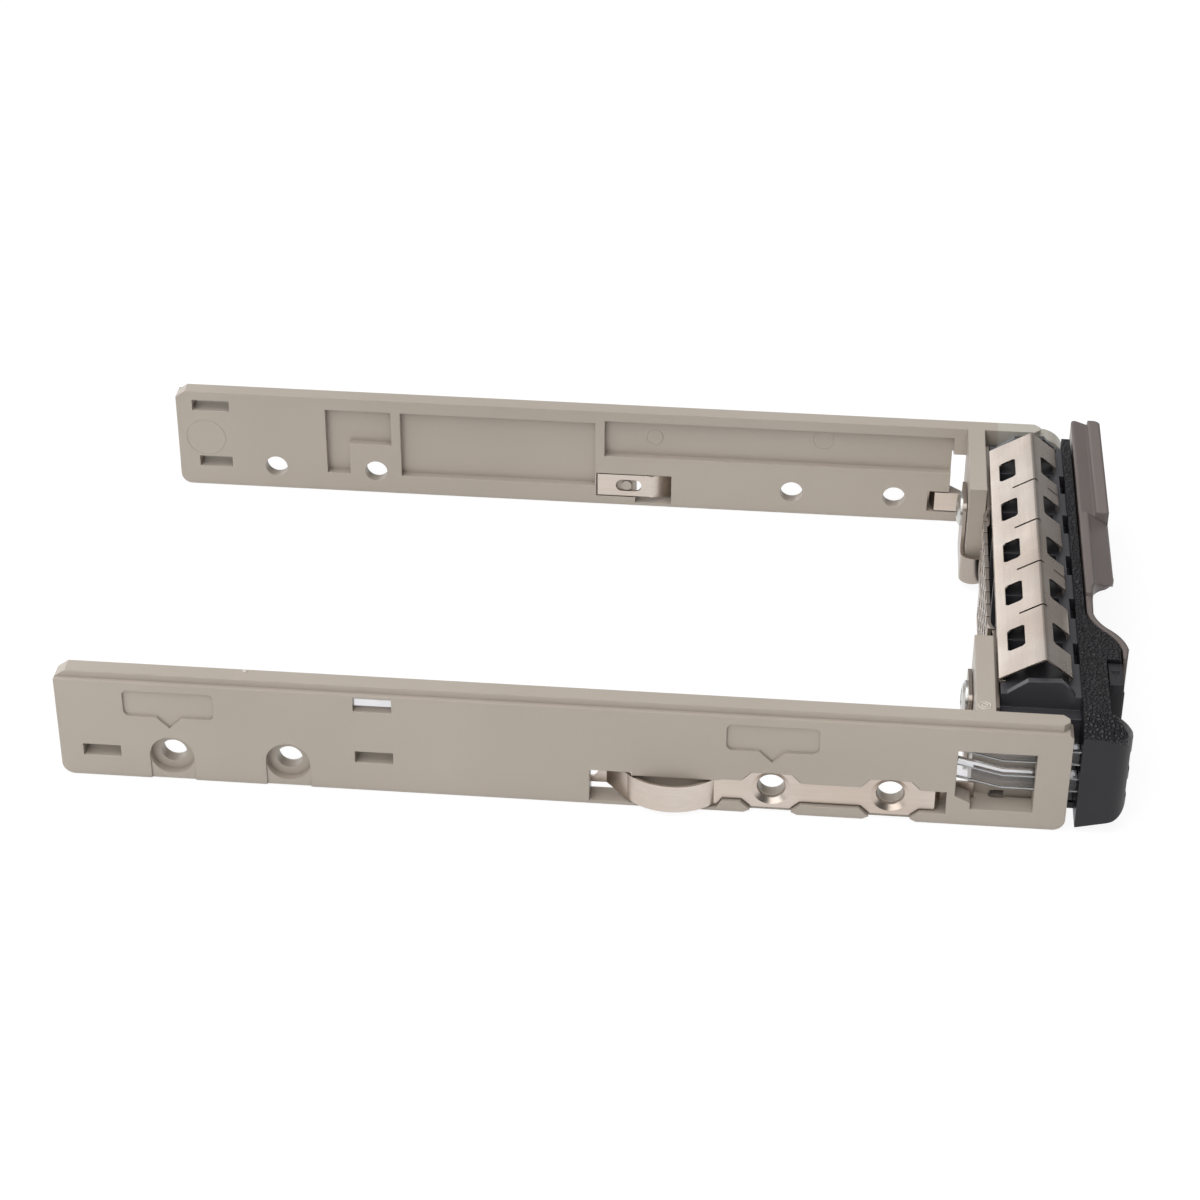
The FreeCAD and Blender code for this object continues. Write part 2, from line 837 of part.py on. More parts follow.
def cut_window(body, side):
    """The stepped window beside the arm, down to the guard wall on the left rail."""
    low = s.window_low
    high = s.window_low + s.window_height
    step = low + s.window_step
    bevel = s.window_step_length / 2
    outline = [
        (window_front, low),
        (window_rear - s.window_step_length, low),
        (window_rear - s.window_step_length, step - bevel),
        (window_rear, step),
        (window_rear, high),
        (window_front, high),
    ]
    depth = -s.guard_gap if side < 0 else as_size(0.0)
    cut(body, "window", "YZ", (rail_outer + 1) * side, (rail_inner + depth) * side, outline)
    if side > 0:
        return
    slot = box(arm_front - 1.9, arm_front - 0.2, low - 0.4, low + 0.4)
    upright = box(arm_rear - 0.4, arm_rear + 0.1, low - 0.4, low + 0.8)
    guard_outer = -(rail_inner - s.guard_gap)
    cut(body, "guard_slots", "YZ", guard_outer - 1, guard_outer + s.guard_wall + 1, slot)
    cut(body, "guard_notch", "YZ", guard_outer - 1, guard_outer + s.guard_wall + 1, upright)


def cut_outer_face(body, side):
    """Screw holes, head recesses with their run-outs, and the bare label fields."""
    outer = rail_outer * side
    through = (rail_inner - 1) * side
    beyond = (rail_outer + 1) * side
    bores = [circle(y, hole_z, s.screw_bore_radius)
             for y in (hole_front, hole_second, hole_rear, hole_last)]
    cut(body, "drive_screw_holes", "YZ", beyond, through, *bores)
    heads = [circle(y, hole_z, s.head_recess_radius) for y in (hole_rear, hole_last)]
    head_floor = (rail_outer - s.head_recess_depth) * side
    cut(body, "head_recesses", "YZ", beyond, head_floor, *heads)
    grooves = [box(y - s.head_recess_radius, y + s.head_recess_radius, as_size(-1.0), hole_z)
               for y in (hole_rear, hole_last)]
    groove_floor = (rail_outer - s.groove_depth) * side
    cut(body, "head_grooves", "YZ", beyond, groove_floor, *grooves)
    fields = [plate_recess_outline(y) for y in (hole_second, hole_last)]
    field_floor = (rail_outer - s.plate_recess_depth) * side
    cut(body, "label_fields", "YZ", outer + side, field_floor, *fields)


def cut_leaf_seat(body, side):
    """The recess, openings and pin that hold the leaf spring."""
    margin = s.leaf_margin
    inner = rail_inner * side
    beyond = (rail_outer + 1) * side
    inside = (rail_inner - 1) * side
    floor = leaf_floor * side
    cut(body, "leaf_recess", "YZ", beyond, floor, leaf_outline(margin, True))
    high = leaf_band_high + margin
    rear_opening = box(leaf_arch_rear - 0.5, leaf_end_start + 2, s.leaf_low - margin,
                       s.leaf_end_low + s.leaf_end_height + margin)
    front_opening = box(-s.leaf_slot_front, -s.leaf_slot_front + s.leaf_jog * 3,
                        s.leaf_band_low - margin, high)
    cut(body, "leaf_openings", "YZ", beyond, inside, rear_opening, front_opening)
    seat_depth = (rail_inner + s.leaf_sheet + 0.1) * side
    end_seat = box(leaf_end_start - 1, leaf_end_rear + margin, s.leaf_end_low - margin,
                   s.leaf_end_low + s.leaf_end_height + margin)
    tab_front = -s.leaf_slot_front + s.leaf_jog - s.leaf_tab_length
    tab_seat = box(tab_front - margin, -s.leaf_slot_front + s.leaf_jog,
                   s.leaf_band_low - margin, high)
    cut(body, "leaf_end_seats", "YZ", inside, seat_depth, end_seat, tab_seat)
    pin_z = s.leaf_end_low + s.leaf_end_height / 2
    add(body, "leaf_pin", "YZ", seat_depth, inner, circle(leaf_pin_y, pin_z, s.leaf_pin_radius))
    dimple = s.dimple_radius + margin
    dimple_floor = (leaf_floor - s.dimple_depth) * side
    dimples = [circle(y, hole_z, dimple) for y in (hole_front, hole_second)]
    cut(body, "dimple_seats", "YZ", beyond, dimple_floor, *dimples)


def cut_slots(body, side):
    """Mould slots through the rail near its rear end and middle."""
    beyond = (rail_outer + 1) * side
    inside = (rail_inner - 1) * side
    rear = rail_rear - 3.0
    low = hole_z - 0.5
    outlines = [box(rear - s.slot_length, rear, low, low + s.slot_height)]
    under_strip = s.rail_height - 0.4
    if side < 0:
        middle = hole_rear - 8.7
        outlines.append(box(middle - s.slot_length, middle, low + 1.2, low + 1.2 + s.slot_height))
        outlines.append(box(middle - s.slot_length, middle, under_strip - 2, under_strip))
    else:
        outlines.append(box(rear - s.slot_length, rear + 0.6, under_strip - 1.7, under_strip))
    cut(body, "mould_slots", "YZ", beyond, inside, *outlines)


def cut_inner_pockets(body):
    """Weight-saving pockets on the inner face of the right rail, with ribs left between them."""
    high = s.rail_height - 1.0
    boss_high = hole_z + 4.5
    ledge = hole_z - 0.6
    boss_rear = hole_rear + 3.9
    first_front = hole_rear - 2.4
    second_rear = first_front - s.pocket_rib
    second_front = leaf_end_rear + 0.4
    third_rear = second_front - s.pocket_rib
    third_front = arm_rear + 1.8
    first = [
        (boss_rear, ledge),
        (boss_rear + 3.4, ledge),
        (boss_rear + 3.4, high),
        (first_front, high),
        (first_front, boss_high),
        (boss_rear, boss_high),
    ]
    second = box(second_front, second_rear, ledge, high)
    third = box(third_front, third_rear, boss_high, high + 0.4)
    floor = rail_inner + s.pocket_depth
    cut(body, "inner_pockets", "YZ", rail_inner - 1, floor, first, second, third)


# Leaf springs

def make_leaf_spring(label, side):
    """A stamped strip: hooked tab, two screw pads with dimples, an outward arch, a slotted end."""
    body = new_body(label)
    jog_front = -s.leaf_slot_front + s.leaf_jog
    tab_front = jog_front - s.leaf_tab_length
    rise = s.leaf_arch_rise
    sheet = s.leaf_sheet
    strip = [
        (leaf_inner_face, tab_front),
        (leaf_inner_face, jog_front),
        (leaf_face, jog_front + s.leaf_jog),
        (leaf_face, leaf_arch_front, rise),
        (leaf_face, leaf_arch_rear),
        (leaf_inner_face, leaf_end_start),
        (leaf_inner_face, leaf_end_rear),
        (leaf_inner_back, leaf_end_rear),
        (leaf_inner_back, leaf_end_start - sheet),
        (leaf_back, leaf_arch_rear - sheet, -rise),
        (leaf_back, leaf_arch_front + sheet),
        (leaf_back, jog_front + s.leaf_jog + sheet),
        (leaf_inner_back, jog_front + sheet),
        (leaf_inner_back, tab_front),
    ]
    add(body, "bent_strip", "XY", s.leaf_low, leaf_high, sided(strip, side))
    frame = box(tab_front - 5, leaf_end_rear + 5, s.leaf_low - 5, leaf_high + 5)
    blank = leaf_blank(tab_front)
    cut(body, "blank_edge", "YZ", (rail_outer + 5) * side, (rail_inner - 5) * side, frame, blank)
    holes = [circle(y, hole_z, s.dimple_radius) for y in (hole_front, hole_second)]
    cut(body, "dimple_holes", "YZ", (rail_outer + 5) * side, leaf_back * side - side, *holes)
    for number, hole in enumerate((hole_front, hole_second)):
        dimple = [
            (leaf_back - s.dimple_depth, s.dimple_hole_radius),
            (leaf_face - s.dimple_depth, s.dimple_hole_radius),
            (leaf_face, s.dimple_radius),
            (leaf_face, s.dimple_radius + 0.2),
            (leaf_back, s.dimple_radius + 0.2),
            (leaf_back, s.dimple_radius),
        ]
        revolve(body, f"dimple_{number}", "XY", hole_z, (as_size(0.0), hole),
                sided(dimple, side), axis="H_Axis")
    pin_z = s.leaf_end_low + s.leaf_end_height / 2
    slot_radius = s.leaf_pin_radius + 0.2
    slot = oblong(leaf_pin_y - 2.2, leaf_pin_y + 1.6, pin_z, slot_radius)
    cut(body, "end_slot", "YZ", (rail_inner - 1) * side, (leaf_inner_face + 0.5) * side, slot)
    return body


def leaf_blank(tab_front):
    """The outline that the strip is stamped to."""
    points = leaf_outline(as_size(0.0), False)
    return [(tab_front - 1, points[0][1])] + points[1:-1] + [(tab_front - 1, points[-1][1])]


# Perforated plate

def make_vent_plate():
    """Sheet between the rails' arms, bulged to the rear, with a tab folded round each arm."""
    body = new_body("vent_plate")
    half = vent_half
    swell = s.vent_bulge_half
    slope = s.vent_bulge * 3
    plan = [
        (-half, vent_front),
        (-swell, vent_front),
        (slope - swell, vent_front + s.vent_bulge),
        (swell - slope, vent_front + s.vent_bulge),
        (swell, vent_front),
        (half, vent_front),
        (half, vent_rear),
        (swell, vent_rear),
        (swell - slope, vent_rear + s.vent_bulge),
        (slope - swell, vent_rear + s.vent_bulge),
        (-swell, vent_rear),
        (-half, vent_rear),
    ]
    add(body, "bulged_sheet", "XY", s.vent_low, vent_high, plan)
    slot_end = arm_end + 0.0
    tab_high = s.tab_low + s.tab_height
    slots = [sided(box(slot_end - s.tab_slot_length, slot_end, s.tab_low - 0.2, tab_high + 0.2),
                   side) for side in (1, -1)]
    rear_side = arm_rear + 5
    cut(body, "tab_slots", "XZ", rear_side, vent_front - 1, *slots)
    pitch = s.hex_flat + s.hex_web
    row_rise = pitch * 0.866
    rows = whole((vent_high - s.hex_low_row - pitch * 0.4) / row_rise) + 1
    for row in range(int(rows.number)):
        height = s.hex_low_row + row_rise * row
        beside_tabs = (height - s.hex_flat).number < tab_high.number
        count = (4 if beside_tabs else 10) + (row + 1) % 2
        first_x = -pitch * (count - 1) / 2
        hexagon = hexagon_outline(first_x, height, s.hex_flat)
        hole = cut(body, f"hexagon_{row}", "XZ", rear_side, vent_front - 1, hexagon)
        repeat(body, f"hexagon_row_{row}", hole, "X", pitch, count, False)
    bend_y = (arm_rear + arm_front) / 2
    inner = s.tab_bend
    outer = inner + s.vent_sheet
    leg_end = arm_end + s.tab_leg
    for side in (1, -1):
        name = "right" if side > 0 else "left"
        fold = [
            (arm_end, bend_y + outer, outer),
            (arm_end, bend_y - outer),
            (arm_end + 0.6, bend_y - outer),
            (arm_end + 0.6, bend_y - inner),
            (arm_end, bend_y - inner, -inner),
            (arm_end, bend_y + inner),
            (leg_end, bend_y + inner),
            (leg_end, bend_y + outer),
        ]
        add(body, f"{name}_tab", "XY", s.tab_low, tab_high, sided(fold, side))
        ear = rounded_box(arm_screw_x - 3.6, leg_end, s.tab_low, tab_high + s.tab_ear_rise,
                          as_size(1.0))
        add(body, f"{name}_ear", "XZ", bend_y + inner, bend_y + outer, sided(ear, side))
        hole = circle(arm_screw_x, s.arm_screw_z, s.arm_screw_radius + s.screw_clearance)
        cut(body, f"{name}_screw_hole", "XZ", rear_side, vent_front - 1, sided(hole, side))
    return body


def hexagon_outline(centre, height, flat):
    """A hexagon standing on a corner."""
    reach = flat / 2
    rise = flat * 0.2887
    return [
        (centre, height - rise * 2),
        (centre + reach, height - rise),
        (centre + reach, height + rise),
        (centre, height + rise * 2),
        (centre - reach, height + rise),
        (centre - reach, height - rise),
    ]


# Screws

def make_screw(label, x, z, seat, radius, length, head_radius, head_height):
    """A round-head screw that points forward, with a cross slot in its head."""
    body = new_body(label)
    head = [
        (as_size(0.0), -length),
        (radius - 0.3, -length),
        (radius, -length + 0.3),
        (radius, as_size(0.0)),
        (head_radius, as_size(0.0)),
        (head_radius, head_height * 0.4),
        (head_radius * 0.8, head_height * 0.8),
        (head_radius * 0.5, head_height),
        (as_size(0.0), head_height),
    ]
    revolve(body, "turned_form", "XY", z, (x, seat), head)
    top = seat + head_height
    arm = head_radius * 0.55
    half = s.drive_slot / 2
    cross = [
        (x - arm, z - half), (x - half, z - half), (x - half, z - arm), (x + half, z - arm),
        (x + half, z - half), (x + arm, z - half), (x + arm, z + half), (x + half, z + half),
        (x + half, z + arm), (x - half, z + arm), (x - half, z + half), (x - arm, z + half),
    ]
    cut(body, "cross_slot", "XZ", top + 1, top - s.drive_slot_depth, cross)
    return body


# Light pipes

def make_light_pipe(label, level):
    """A clear bar along the left rail that ends in the cover's front face."""
    body = new_body(label)
    inner = pipe_outer + s.pipe_width
    outline = pipe_outline(level, as_size(0.0), rail_rear - s.pipe_end, block_front + s.pipe_end)
    add(body, "bar", "YZ", pipe_outer, inner, outline)
    outer_face = pipe_outer.number
    dress(body, "bevel", "Chamfer", s.pipe_bevel,
          lambda middle, ends: near(middle.x, outer_face) and abs(ends.y) > 2)
    return body


# Front module

def make_front_module():
    """Black frame behind the cover: air duct with ribs, end cheeks and wells for the fingers."""
    body = new_body("front_module")
    left = module_left
    right = module_right
    low = s.module_low
    high = module_high
    shelf = s.shelf_z
    cheek = cheek_outer
    section = [
        (left, low),
        (right, low),
        (right, shelf),
        (cheek, shelf),
        (cheek, high),
        (-cheek, high),
        (-cheek, shelf),
        (left, shelf),
    ]
    add(body, "frame", "XZ", module_rear, module_front, section)
    spring_rear = module_rear + 0.3
    ridge = spring_rear - s.finger_rear_run
    spring_front = ridge - s.finger_front_run
    cheek_top = high + s.cheek_rise
    plate = [
        (module_rear - 0.2, shelf),
        (module_front + 0.6, shelf),
        (module_front + 0.6, high - 0.6),
        (module_front + 1.1, high + 0.5),
        (module_front + 2.7, cheek_top),
        (ridge + 2.2, cheek_top - 0.2),
        (module_rear - 0.9, high + 0.1),
        (module_rear - 0.2, high - 0.6),
    ]
    for side in (1, -1):
        name = "right" if side > 0 else "left"
        add(body, f"{name}_cheek", "YZ", cheek_inner * side, cheek * side, plate)
    cell = (duct_half * 2 - s.duct_rib * (s.duct_cells - 1)) / s.duct_cells
    first = bevelled_box(-duct_half, -duct_half + cell, low + s.duct_wall, high - 2.6,
                         as_size(0.5))
    duct = cut(body, "duct_cell", "XZ", module_rear + 1, module_front - 1, first)
    repeat(body, "duct_cells", duct, "X", cell + s.duct_rib, s.duct_cells, False)
    first_well = -s.finger_pitch * (s.finger_count - 1) / 2 - s.well_width / 2
    well = box(first_well, first_well + s.well_width, spring_front - 0.4 - s.well_length,
               spring_front - 0.4)
    wells = cut(body, "finger_well", "XY", high + 1, high - s.well_depth, well)
    repeat(body, "finger_wells", wells, "X", s.finger_pitch, s.finger_count, False)
    trough = box(first_well, first_well + s.well_width, spring_front + 0.9, ridge + 4.6)
    troughs = cut(body, "finger_trough", "XY", high + 1, high - s.well_depth, trough)
    repeat(body, "finger_troughs", troughs, "X", s.finger_pitch, s.finger_count, False)
    pilot = s.arm_screw_radius + s.thread_gap
    arm_holes = [sided(circle(arm_screw_x, s.arm_screw_z, pilot), side) for side in (1, -1)]
    screw_end = arm_rear + s.tab_bend - s.arm_depth / 2 + s.vent_sheet - s.arm_screw_length
    cut(body, "arm_screw_pilots", "XZ", module_rear + 1, screw_end - 0.4, *arm_holes)
    cover_hole = circle(cover_screw_x, s.cover_screw_z, s.cover_screw_radius + s.screw_clearance)
    cover_head = circle(cover_screw_x, s.cover_screw_z, s.cover_head_radius + s.screw_clearance)
    cut(body, "cover_screw_holes", "XZ", module_rear + 1, module_front - 1,
        cover_hole, sided(cover_hole, -1))
    cut(body, "cover_head_wells", "XZ", module_rear + 1, module_rear - s.cover_head_sink,
        cover_head, sided(cover_head, -1))
    return body


# Finger spring

def make_emi_spring():
    """One folded sheet along the top of the module: a roof of five slit and windowed fingers."""
    body = new_body("emi_spring")
    seat = module_high + 0.05
    sheet = s.finger_sheet
    rear = module_rear + 0.3
    eave = seat + sheet * 2
    ridge = rear - s.finger_rear_run
    peak = eave + s.finger_rise - sheet * 2
    front = ridge - s.finger_front_run
    drop = peak - s.finger_front_drop
    profile = [
        (rear - s.finger_foot, seat),
        (rear - sheet, seat),
        (rear, seat + sheet),
        (rear - 0.05, eave),
        (ridge, peak),
        (front, drop),
        (front, drop - s.finger_lip),
        (front + sheet, drop - s.finger_lip),
        (front + sheet, drop - sheet * 0.4),
        (ridge, peak - sheet * 1.25),
        (rear - sheet * 1.6, eave - sheet * 0.4),
        (rear - sheet * 1.2, seat + sheet),
        (rear - s.finger_foot, seat + sheet),
    ]
    add(body, "folded_sheet", "YZ", -finger_half, finger_half, profile)
    above = peak + 1
    below = seat + sheet * 1.5
    first = -s.finger_pitch * (s.finger_count - 1) / 2
    half = s.finger_window_width / 2
    rear_window = bevelled_box(first - half, first + half, ridge + 2.4, ridge + 4.5, s.finger_corner)
    hole = cut(body, "rear_window", "XY", above, below, rear_window)
    repeat(body, "rear_windows", hole, "X", s.finger_pitch, s.finger_count, False)
    front_window = bevelled_box(first - half, first + half, front + 0.55, ridge - 0.9,
                                s.finger_corner)
    hole = cut(body, "front_window", "XY", above, below, front_window)
    repeat(body, "front_windows", hole, "X", s.finger_pitch, s.finger_count, False)
    slit_x = first + s.finger_pitch / 2
    slit = box(slit_x - s.finger_slit / 2, slit_x + s.finger_slit / 2, ridge - 0.4, ridge + 2.9)
    hole = cut(body, "ridge_slit", "XY", above, below + sheet, slit)
    repeat(body, "ridge_slits", hole, "X", s.finger_pitch, s.finger_count - 1, False)
    thin = s.finger_slit / 4
    tip = box(slit_x - thin, slit_x + thin, front - 0.5, front + 2.0)
    hole = cut(body, "tip_slit", "XY", above, below, tip)
    repeat(body, "tip_slits", hole, "X", s.finger_pitch * 2, 2, False)
    return body


# Front cover

def make_bezel():
    """Black front cover: slotted panel, swept end block with the button recess, hinge ears."""
    body = new_body("bezel")
    low = s.cover_low
    high = cover_high
    outer = -rail_outer
    add(body, "panel", "XZ", module_front, cover_front, box(outer, cover_right, low, high))
    sweep_middle = (sweep_start + sweep_end) / 2
    lip = block_front + 0.9
    sweep_half = (cover_front + lip) / 2
    corner = s.block_corner
    plan = [
        (outer, module_front - 0.2),
        (outer, block_front + corner, corner * QUARTER_BULGE),
        (outer + corner, block_front),
        (recess_left, block_front),
        (recess_left, recess_back),
        (recess_right, recess_back),
        (recess_right, lip),
        (sweep_end, lip, as_size(0.35)),
        (sweep_middle, sweep_half, as_size(-0.35)),
        (sweep_start, cover_front),
        (sweep_start, module_front - 0.2),
    ]
    add(body, "end_block", "XY", low, high, plan)
    floor = box(recess_left - 0.1, recess_right + 0.1, lip, recess_back + 0.1)
    add(body, "recess_floor", "XY", low, s.recess_floor, floor)
    facet = [
        (outer - 1, high - s.block_facet_drop - s.block_facet_drop / s.block_facet_width),
        (outer + s.block_facet_width, high),
        (outer + s.block_facet_width, high + 1),
        (outer - 1, high + 1),
    ]
    cut(body, "end_facet", "XZ", module_front + 1, block_front - 1, facet)
    belly = [
        (block_front - 1, as_size(-1.0)),
        (module_front - 0.2, as_size(-1.0)),
        (module_front - 0.2, low),
        (block_front + 1.6, low + s.block_belly * 0.7, as_size(-0.5)),
        (block_front, low + s.block_belly + 2.2),
        (block_front - 1, low + s.block_belly + 2.2),
    ]
    cut(body, "belly", "YZ", outer - 1, sweep_start + 1, belly)
    brow = [
        (block_front - 1, high + 1),
        (block_front - 1, high - 2.4),
        (block_front, high - 2.4, as_size(-0.3)),
        (block_front + 2.6, high),
        (block_front + 2.6, high + 1),
    ]
    cut(body, "brow", "YZ", outer - 1, recess_left + 1, brow)
    cavity = box(recess_right - 0.3, recess_right + 6.2, s.catch_low - 1,
                 s.catch_low + s.catch_height + 1)
    cut(body, "catch_cavity", "XZ", lever_rear - 0.2, block_front - 1, cavity)
    tenon_low = s.button_tenon_low - s.button_play
    tenon_high = s.button_tenon_low + s.button_tenon_height + s.button_play
    slot = box(button_middle - s.button_travel - s.button_play, tenon_right + s.button_play,
               tenon_low + s.button_head_step, tenon_high - s.button_head_step)
    cut(body, "tenon_slot", "XZ", recess_back - 1, tenon_back, slot)
    pocket = box(spring_start - s.part_gap / 2, tenon_right + s.button_play, tenon_low,
                 tenon_high)
    cut(body, "spring_pocket", "XZ", recess_back + s.recess_wall, tenon_back + s.button_play,
        pocket)
    cut_pipe_tunnels(body)
    add_tongue(body)
    add_hinge_ears(body)
    first = sweep_start + 2.4
    count = whole((cover_screw_x - 3.0 - first) / s.grille_pitch)
    slot = rounded_box(first, first + s.grille_slot, s.grille_low,
                       s.grille_low + s.grille_height, s.grille_slot * 0.45)
    grille = cut(body, "grille_slot", "XZ", module_front + 1, cover_front - 1, slot)
    repeat(body, "grille", grille, "X", s.grille_pitch, count, False)
    pilot = circle(cover_screw_x, s.cover_screw_z, s.cover_screw_radius + s.thread_gap)
    screw_end = module_rear - s.cover_head_sink - s.cover_screw_length
    cut(body, "screw_pilots", "XZ", module_front + 1, screw_end - 0.3, pilot, sided(pilot, -1))
    return body


def cut_pipe_tunnels(body):
    """Square tunnels through the end block for the two light pipes."""
    play = s.pipe_play
    half = s.pipe_height / 2 + play
    tunnels = [box(pipe_outer - play, pipe_outer + s.pipe_width + play, level - half, level + half)
               for level in (s.pipe_front_z, s.pipe_front_z - s.pipe_pitch)]
    cut(body, "pipe_tunnels", "XZ", module_front + 1, block_front - 1, *tunnels)


def add_tongue(body):
    """A locating tongue behind the end block, between the left rail and its guard wall."""
    outer = -(rail_inner - s.tongue_gap)
    inner = -(rail_inner - s.guard_gap + s.tongue_gap)
    low = s.tongue_low
    high = s.tongue_low + s.tongue_height
    tip = module_front + s.tongue_length
    shank = box(outer, inner, module_front - 0.2, tip)
    add(body, "locating_tongue", "XY", low, high, shank)


def add_hinge_ears(body):
    """Two ears with the bore for the handle's pin, on a web from the panel."""
    radius = s.boss_radius
    ear = [
        (hinge_x - 8.4, cover_front + 0.2),
        (hinge_x - 3.2, hinge_y - radius),
        (hinge_x, hinge_y - radius, radius),
        (hinge_x, hinge_y + radius),
        (cover_right, hinge_y + radius),
        (cover_right, cover_front + 0.2),
    ]
    for name, level in (("lower", lower_ear), ("upper", upper_ear)):
        add(body, f"{name}_ear", "XY", level, level + s.ear_height, ear)
    bore = circle(hinge_x, hinge_y, s.pin_radius + s.pin_play)
    cut(body, "pin_bore", "XY", s.lever_low, lever_high, bore)


# Ejector handle

def lever_plan():
    """The handle from above: straight grip, a dip for the finger, a thin tail to the button."""
    rear = lever_rear
    front = lever_front
    sweep_middle = (sweep_start + sweep_end) / 2
    lip = block_front + 0.9 - s.lever_gap
    sweep_half = (rear + lip) / 2
    wall = s.lever_tail_wall
    tail = tail_end
    heel = s.lever_heel_round
    heel_bulge = heel * QUARTER_BULGE
    return [
        (sweep_start - 0.2, rear - wall),
        (wing_end - 5.2, rear - wall - 0.1, as_size(-0.5)),
        (wing_end - 2.4, (rear + front) / 2 - 0.7, as_size(0.5)),
        (wing_end + 1.2, front),
        (lever_right - heel, front, heel_bulge),
        (lever_right, front + heel),
        (lever_right, rear - heel, heel_bulge),
        (lever_right - heel, rear),
        (sweep_start, rear, as_size(0.35)),
        (sweep_middle, sweep_half, as_size(-0.35)),
        (sweep_end, lip),
        (tail, lip),
        (tail, lip - wall + 0.3),
        (sweep_end + 0.2, lip - wall, as_size(0.35)),
        (sweep_middle + 0.2, sweep_half - wall - 0.1, as_size(-0.35)),
    ]


def make_lever():
    """The taupe ejector handle, a hollow bar with walls, flanges, air slots and a catch."""
    body = new_body("lever")
    add(body, "bar", "XY", s.lever_low, lever_high, lever_plan())
    hollow_low = s.lever_low + s.lever_flange
    front_wall = lever_front + s.lever_wall
    rear_wall = lever_rear - s.lever_wall
    open_end = lever_right + 1
    channel = box(as_size(0.0), open_end, front_wall, rear_wall)
    cut(body, "channel", "XY", hollow_low, lever_hollow_top, channel)
    hinge_room = box(hinge_x - 9.2, open_end, front_wall, lever_rear + 1)
    cut(body, "hinge_room", "XY", hollow_low, lever_hollow_top, hinge_room)
    first = wing_end + 3.2
    window = rounded_box(first, first + 2.1, hollow_low + 1.2, lever_hollow_top - 1.0,
                         as_size(0.9))
    windows = cut(body, "air_slot", "XZ", lever_rear + 1, lever_front - 1, window)
    count = whole((hinge_x - 9.2 - first) / s.lever_window_pitch)
    repeat(body, "air_slots", windows, "X", s.lever_window_pitch, count, False)
    step = s.lever_lip_step
    scoop = [
        (lever_rear - 0.3, lever_high + 0.5),
        (lever_rear - 0.3, lever_high),
        (lever_rear - 2.3, lever_high - step),
        (lever_rear - 2.5, lever_high + 0.5),
    ]
    cut(body, "scoop", "YZ", lever_right + 1, lever_lip_end, scoop)
    wing = [
        (lever_rear - 1.3, lever_high + 0.5),
        (lever_rear - 1.3, lever_high - 0.3),
        (lever_front - 1, lever_high - 2.6),
        (lever_front - 1, lever_high + 0.5),
    ]
    cut(body, "wing", "YZ", lever_lip_end, wing_end - 6, wing)
    reach = (lever_high - s.lever_low) / s.lever_sweep_slope
    sweep = [
        (wing_end - 5.4, s.lever_low - 1),
        (wing_end + reach, s.lever_low - 1),
        (wing_end - 1.5, lever_high - s.lever_sweep_tip),
        (wing_end - 5.4, lever_high - s.lever_sweep_tip),
    ]
    cut(body, "swept_underside", "XZ", lever_rear - s.lever_wall, lever_front - 1, sweep)
    tail_top = box(tail_end - 1, wing_end - 6, lever_front - 1.5,
                   lever_rear + 1)
    cut(body, "tail_top", "XY", lever_high + 1, lever_high - 0.6, tail_top)
    hook_y = catch_back + s.part_gap
    catch_z = s.catch_low - s.part_gap
    catch_top = s.catch_low + s.catch_height + s.part_gap
    lip = block_front + 0.9 - s.lever_gap
    hook = [
        (sweep_end + 1.7, lip + 0.55),
        (sweep_end + 3.1, lip + 0.9),
        (sweep_end + 3.1, hook_y + 0.9),
        (sweep_end - 0.8, hook_y + 0.9),
        (sweep_end - 0.8, hook_y),
        (sweep_end + 1.7, hook_y),
    ]
    add(body, "catch", "XY", catch_z, catch_top, hook)
    bore = circle(hinge_x, hinge_y, s.pin_radius + s.pin_play)
    cut(body, "pin_bore", "XY", s.lever_low - 1, lever_high - 1.2, bore)
    rivet = circle(hinge_x - s.hook_tang + 1.8, hub_low + s.hub_height / 2,
                   s.rivet_radius + s.thread_gap)
    cut(body, "rivet_hole", "XZ", front_wall + 1, lever_front - 1, rivet)
    return body


def make_lever_pin():
    """Straight pin of the handle's hinge."""
    body = new_body("lever_pin")
    add(body, "shaft", "XY", s.lever_low + 0.1, lever_high - 1.4,
        circle(hinge_x, hinge_y, s.pin_radius))
    return body


def make_latch_hook():
    """Steel hook on the pin: a beak for the chassis slot and a tang riveted into the handle."""
    body = new_body("latch_hook")
    radius = s.boss_radius
    front = lever_front + s.lever_wall
    tang = hinge_x - s.hook_tang
    beak = rail_outer + s.hook_reach
    plan = [
        (tang, front),
        (hinge_x, front),
        (hinge_x + radius, hinge_y - radius * 0.7),
        (beak, hinge_y - 0.7),
        (beak, hinge_y + 0.2),
        (rail_outer + 0.3, hinge_y + 0.5),
        (hinge_x + radius * 0.8, hinge_y + radius * 0.6, as_size(0.5)),
        (hinge_x, hinge_y + radius, radius * QUARTER_BULGE),
        (hinge_x - radius, hinge_y),
        (hinge_x - radius - 0.8, front + s.hook_sheet),
        (tang, front + s.hook_sheet),
    ]
    add(body, "plate", "XY", hub_low, coil_low, plan)
    cut(body, "pin_bore", "XY", hub_low - 1, coil_low + 1,
        circle(hinge_x, hinge_y, s.pin_radius + s.pin_play))
    rivet = circle(tang + 1.8, hub_low + s.hub_height / 2, s.rivet_radius + s.thread_gap)
    cut(body, "rivet_hole", "XZ", front + s.hook_sheet + 1, front - 1, rivet)
    return body


